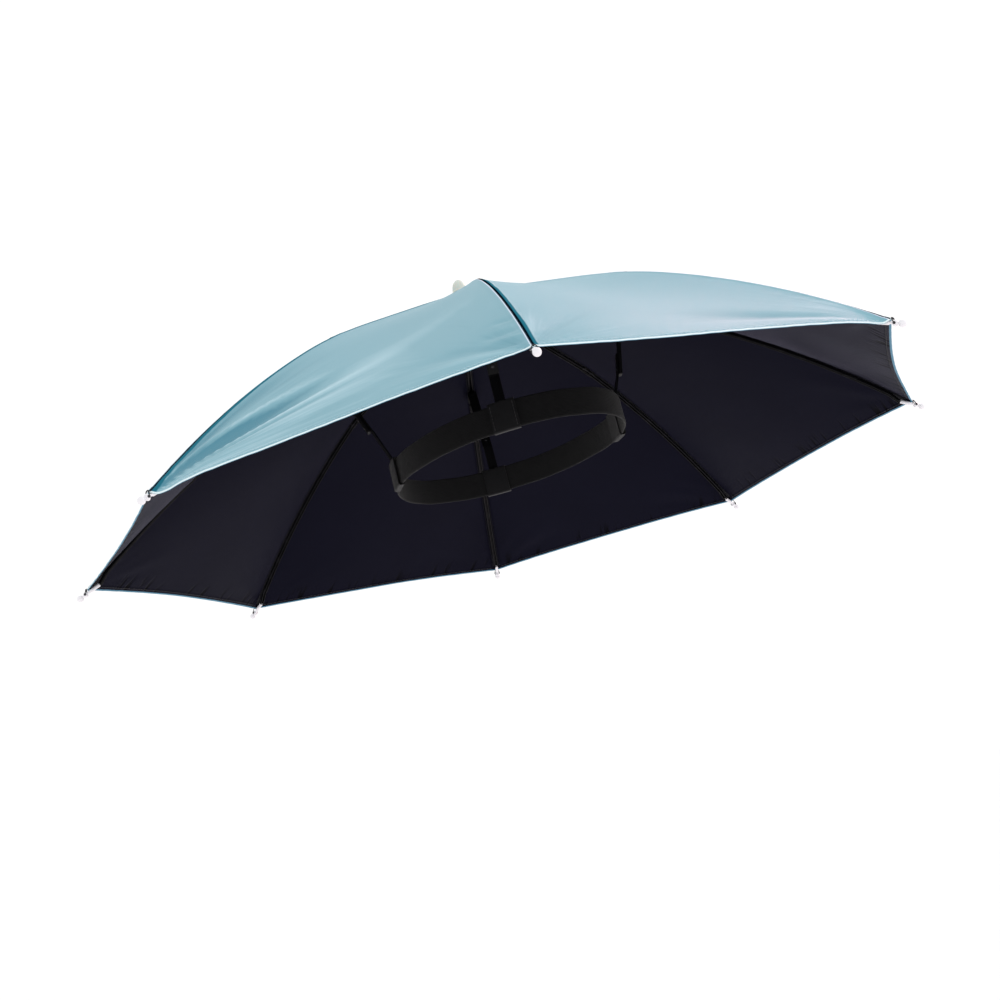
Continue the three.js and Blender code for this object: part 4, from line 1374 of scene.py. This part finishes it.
def strap(stops, across, width, wall, radius, rounds=5):
    """Flat strap along stops with rounded ends and edges; bends are softened."""
    def round_end(frame, outward):
        origin, sideways, up, _ = frame
        end = []
        for i in range(rounds):
            turn = math.pi / 2 * i / rounds
            scale = 1 - END_TAPER + END_TAPER * math.sin(turn)
            end.append((origin + outward * radius * math.cos(turn), sideways, up, scale))
        return end

    frames = path_frames(stops, across)
    first = round_end(frames[0], unit(stops[0] - stops[1]))
    last = round_end(frames[-1], unit(stops[-1] - stops[-2]))
    return sweep(rounded_outline(width, wall, radius), [*first, *frames, *last[::-1]])


def softened(stops, radius, steps=5):
    """The stops with each inner corner cut to a short curve."""
    curve = [stops[0]]
    for before, here, after in zip(stops, stops[1:], stops[2:]):
        arrive = here + unit(before - here) * radius
        leave = here + unit(after - here) * radius
        for i in range(steps + 1):
            t = i / steps
            curve.append((1 - t) ** 2 * arrive + 2 * t * (1 - t) * here + t**2 * leave)
    curve.append(stops[-1])
    return np.array(curve)


def make_leg(row):
    rib, foot, hinge, elbow = leg_path(row)
    down = unit(elbow - hinge)
    side = row["side"]
    arm_end = elbow + down * ARM_WALL * 0.4
    bent = softened([foot, hinge, arm_end], ARM_BEND)
    arm = strap(bent, rib.sideways, ARM_WIDTH, ARM_WALL, ARM_EDGE)
    leg = add_piece(f"leg_{side}", [arm], LEG_PLASTIC, 45)
    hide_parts(f"leg_arm_{side}")

    place, normal, ahead = band_centre(band_crossing(rib))
    inward = np.cross(rib.sideways, down)
    lap = elbow + inward * (ARM_WALL / 2 + SEAT_GAP + STRIP_WALL / 2)
    stand = place + normal * (BAND_WALL / 2 + SEAT_GAP + STRIP_WALL / 2)
    top = BAND_HEIGHT / 2 + 1.3 * MM + STRIP_WALL
    stops = [
        lap - down * STRIP_LAP,
        lap + down * ARM_WALL,
        stand + np.array([0, 0, top]),
        stand + np.array([0, 0, BAND_HEIGHT / 2 - STRIP_HOLD]),
    ]
    curve = softened(stops, STRIP_BEND)
    share = np.clip(np.linspace(-0.2, 1.4, len(curve)), 0, 1)[:, None]
    across = unit(rib.sideways * (1 - share) + ahead * share)
    shape = strap(curve, across, STRIP_WIDTH, STRIP_WALL, STRIP_EDGE)
    strip = add_piece(f"strip_{side}", [shape], LEG_PLASTIC, 45)
    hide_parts(f"leg_strip_{side}")

    pins = []
    stack = ARM_WALL + SEAT_GAP + STRIP_WALL
    middle = ARM_WALL / 2 + SEAT_GAP + STRIP_WALL - stack / 2
    for share in (0.25, 0.8):
        at = elbow - down * STRIP_LAP * share + inward * middle
        pins.append(rivet(at, inward, stack, LEG_RIVET))
    up = rib.up(float(rail_slope(HINGE_REACH)))
    for share in (0.3, 0.8):
        at = hinge + (foot - hinge) * share
        pins.append(rivet(at + up * 0.6 * MM, up, ARM_WALL + 1.2 * MM, LEG_RIVET))
    add_piece(f"leg_rivets_{side}", pins, DULL_STEEL)


def make_loop(row):
    """Sewn tape sleeve round the band and the strip's end, stitched along both cut edges."""
    middle = band_crossing(RIBS[row["rib"]])
    speed = np.linalg.norm(band_centre(middle + 0.001)[0] - band_centre(middle - 0.001)[0]) / 0.002
    outside = BAND_WALL / 2 + 2 * SEAT_GAP + STRIP_WALL
    inside = BAND_WALL / 2 + SEAT_GAP
    width = outside + inside + 2 * LOOP_THICK
    centre = (outside - inside) / 2
    height = BAND_HEIGHT + 2 * SEAT_GAP + 2 * LOOP_THICK
    outer = rounded_outline(width, height, 1.3 * MM, 5)
    inner = rounded_outline(width - 2 * LOOP_THICK, height - 2 * LOOP_THICK, 0.7 * MM, 5)

    def ring(outline, i):
        share = i / LOOP_STEPS - 0.5
        at, normal, _ = band_centre(middle + share * LOOP_LENGTH / speed)
        swell = 0.25 * MM * math.cos(math.pi * share) ** 2
        return [at + normal * (centre + x * (1 + swell / width)) + np.array([0, 0, y]) for x, y in outline]

    rings = [ring(outer, i) for i in range(LOOP_STEPS + 1)]
    rings += [ring(inner, i) for i in range(LOOP_STEPS, -1, -1)]
    shape = skin(rings, closed=True)
    loop = add_piece(f"tape_loop_{row['side']}", [shape], LOOP_TAPE, 60)
    add_band_uv(loop)
    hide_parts(f"band_loop_{row['side']}")

    sewing = []
    count = int((height - 3 * MM) / LOOP_STITCH)
    upright = np.array([0, 0, 1.0])
    for edge in (-1, 1):
        at, normal, _ = band_centre(middle + edge * (LOOP_LENGTH / 2 - 1.6 * MM) / speed)
        for number in range(count):
            up = (number - (count - 1) / 2) * LOOP_STITCH
            spot = at + normal * (centre + width / 2 + STITCH_LIFT) + upright * up
            sewing.append(stitch(spot, upright, normal, 1.9 * MM, 0.5 * MM))
    add_piece(f"loop_stitches_{row['side']}", sewing, GREY_THREAD, SOFT)
    return loop


# Floor and light

FLOOR_DROP = 1.7
FLOOR_SIZE = 60
ROOM_LIGHT = 1.06


def make_floor():
    mesh = bpy.data.meshes.new("floor")
    half = FLOOR_SIZE / 2
    corners = [(x * half, y * half, -FLOOR_DROP) for x, y in ((-1, -1), (1, -1), (1, 1), (-1, 1))]
    mesh.from_pydata(corners, [], [(0, 1, 2, 3)])
    floor = link_object("floor", mesh)
    look = Surface("floor_paint", Roughness=0.9)
    look.colour((0.96, 0.96, 0.96, 1))
    mesh.materials.append(look.material)


def make_light(name, place, aim, size, power, colour=(1, 1, 1)):
    data = bpy.data.lights.new(name, "AREA")
    data.shape = "SQUARE"
    data.size = size
    data.energy = power
    data.color = colour
    light = link_object(name, data)
    light.location = place
    light.rotation_euler = (Vector(aim) - Vector(place)).to_track_quat("-Z", "Y").to_euler()


def make_world():
    world = bpy.data.worlds.new("studio")
    world.use_nodes = True
    background = world.node_tree.nodes["Background"]
    background.inputs["Color"].default_value = (1, 1, 1, 1)
    background.inputs["Strength"].default_value = ROOM_LIGHT
    bpy.context.scene.world = world
    bpy.context.scene.view_settings.view_transform = "Standard"


make_world()
make_floor()
make_light("key", place=(2.4, -0.7, 1.5), aim=(0, 0, 0), size=1.2, power=13)
make_light(
    "rim", place=(1.9, 1.9, 1.35), aim=(0.1, -0.1, 0.05), size=1.8, power=54, colour=(1, 0.62, 0.64),
)

canopy = make_canopy()
seam_allowance = make_seam_allowance()
hem_stitches = make_hem_stitches()
for index, rib in enumerate(RIBS):
    make_rib(index + 1, rib)
    make_tip(index + 1, rib)
    make_ties(index + 1, rib)
make_hub()
make_finial()
band = make_band()
for row in LEG_SET:
    make_leg(row)
    make_loop(row)


# Cloth sizes before sewing

def gore_area():
    """Flat area of a gore between its seams."""
    reaches = np.linspace(CROWN_HOLE / 2, CANOPY_REACH, 400)
    lengths = rail_length(reaches)
    widths = GORES[0].width(reaches)
    return float(np.sum((widths[1:] + widths[:-1]) / 2 * np.diff(lengths)))


RIB_COUNT * gore_area()
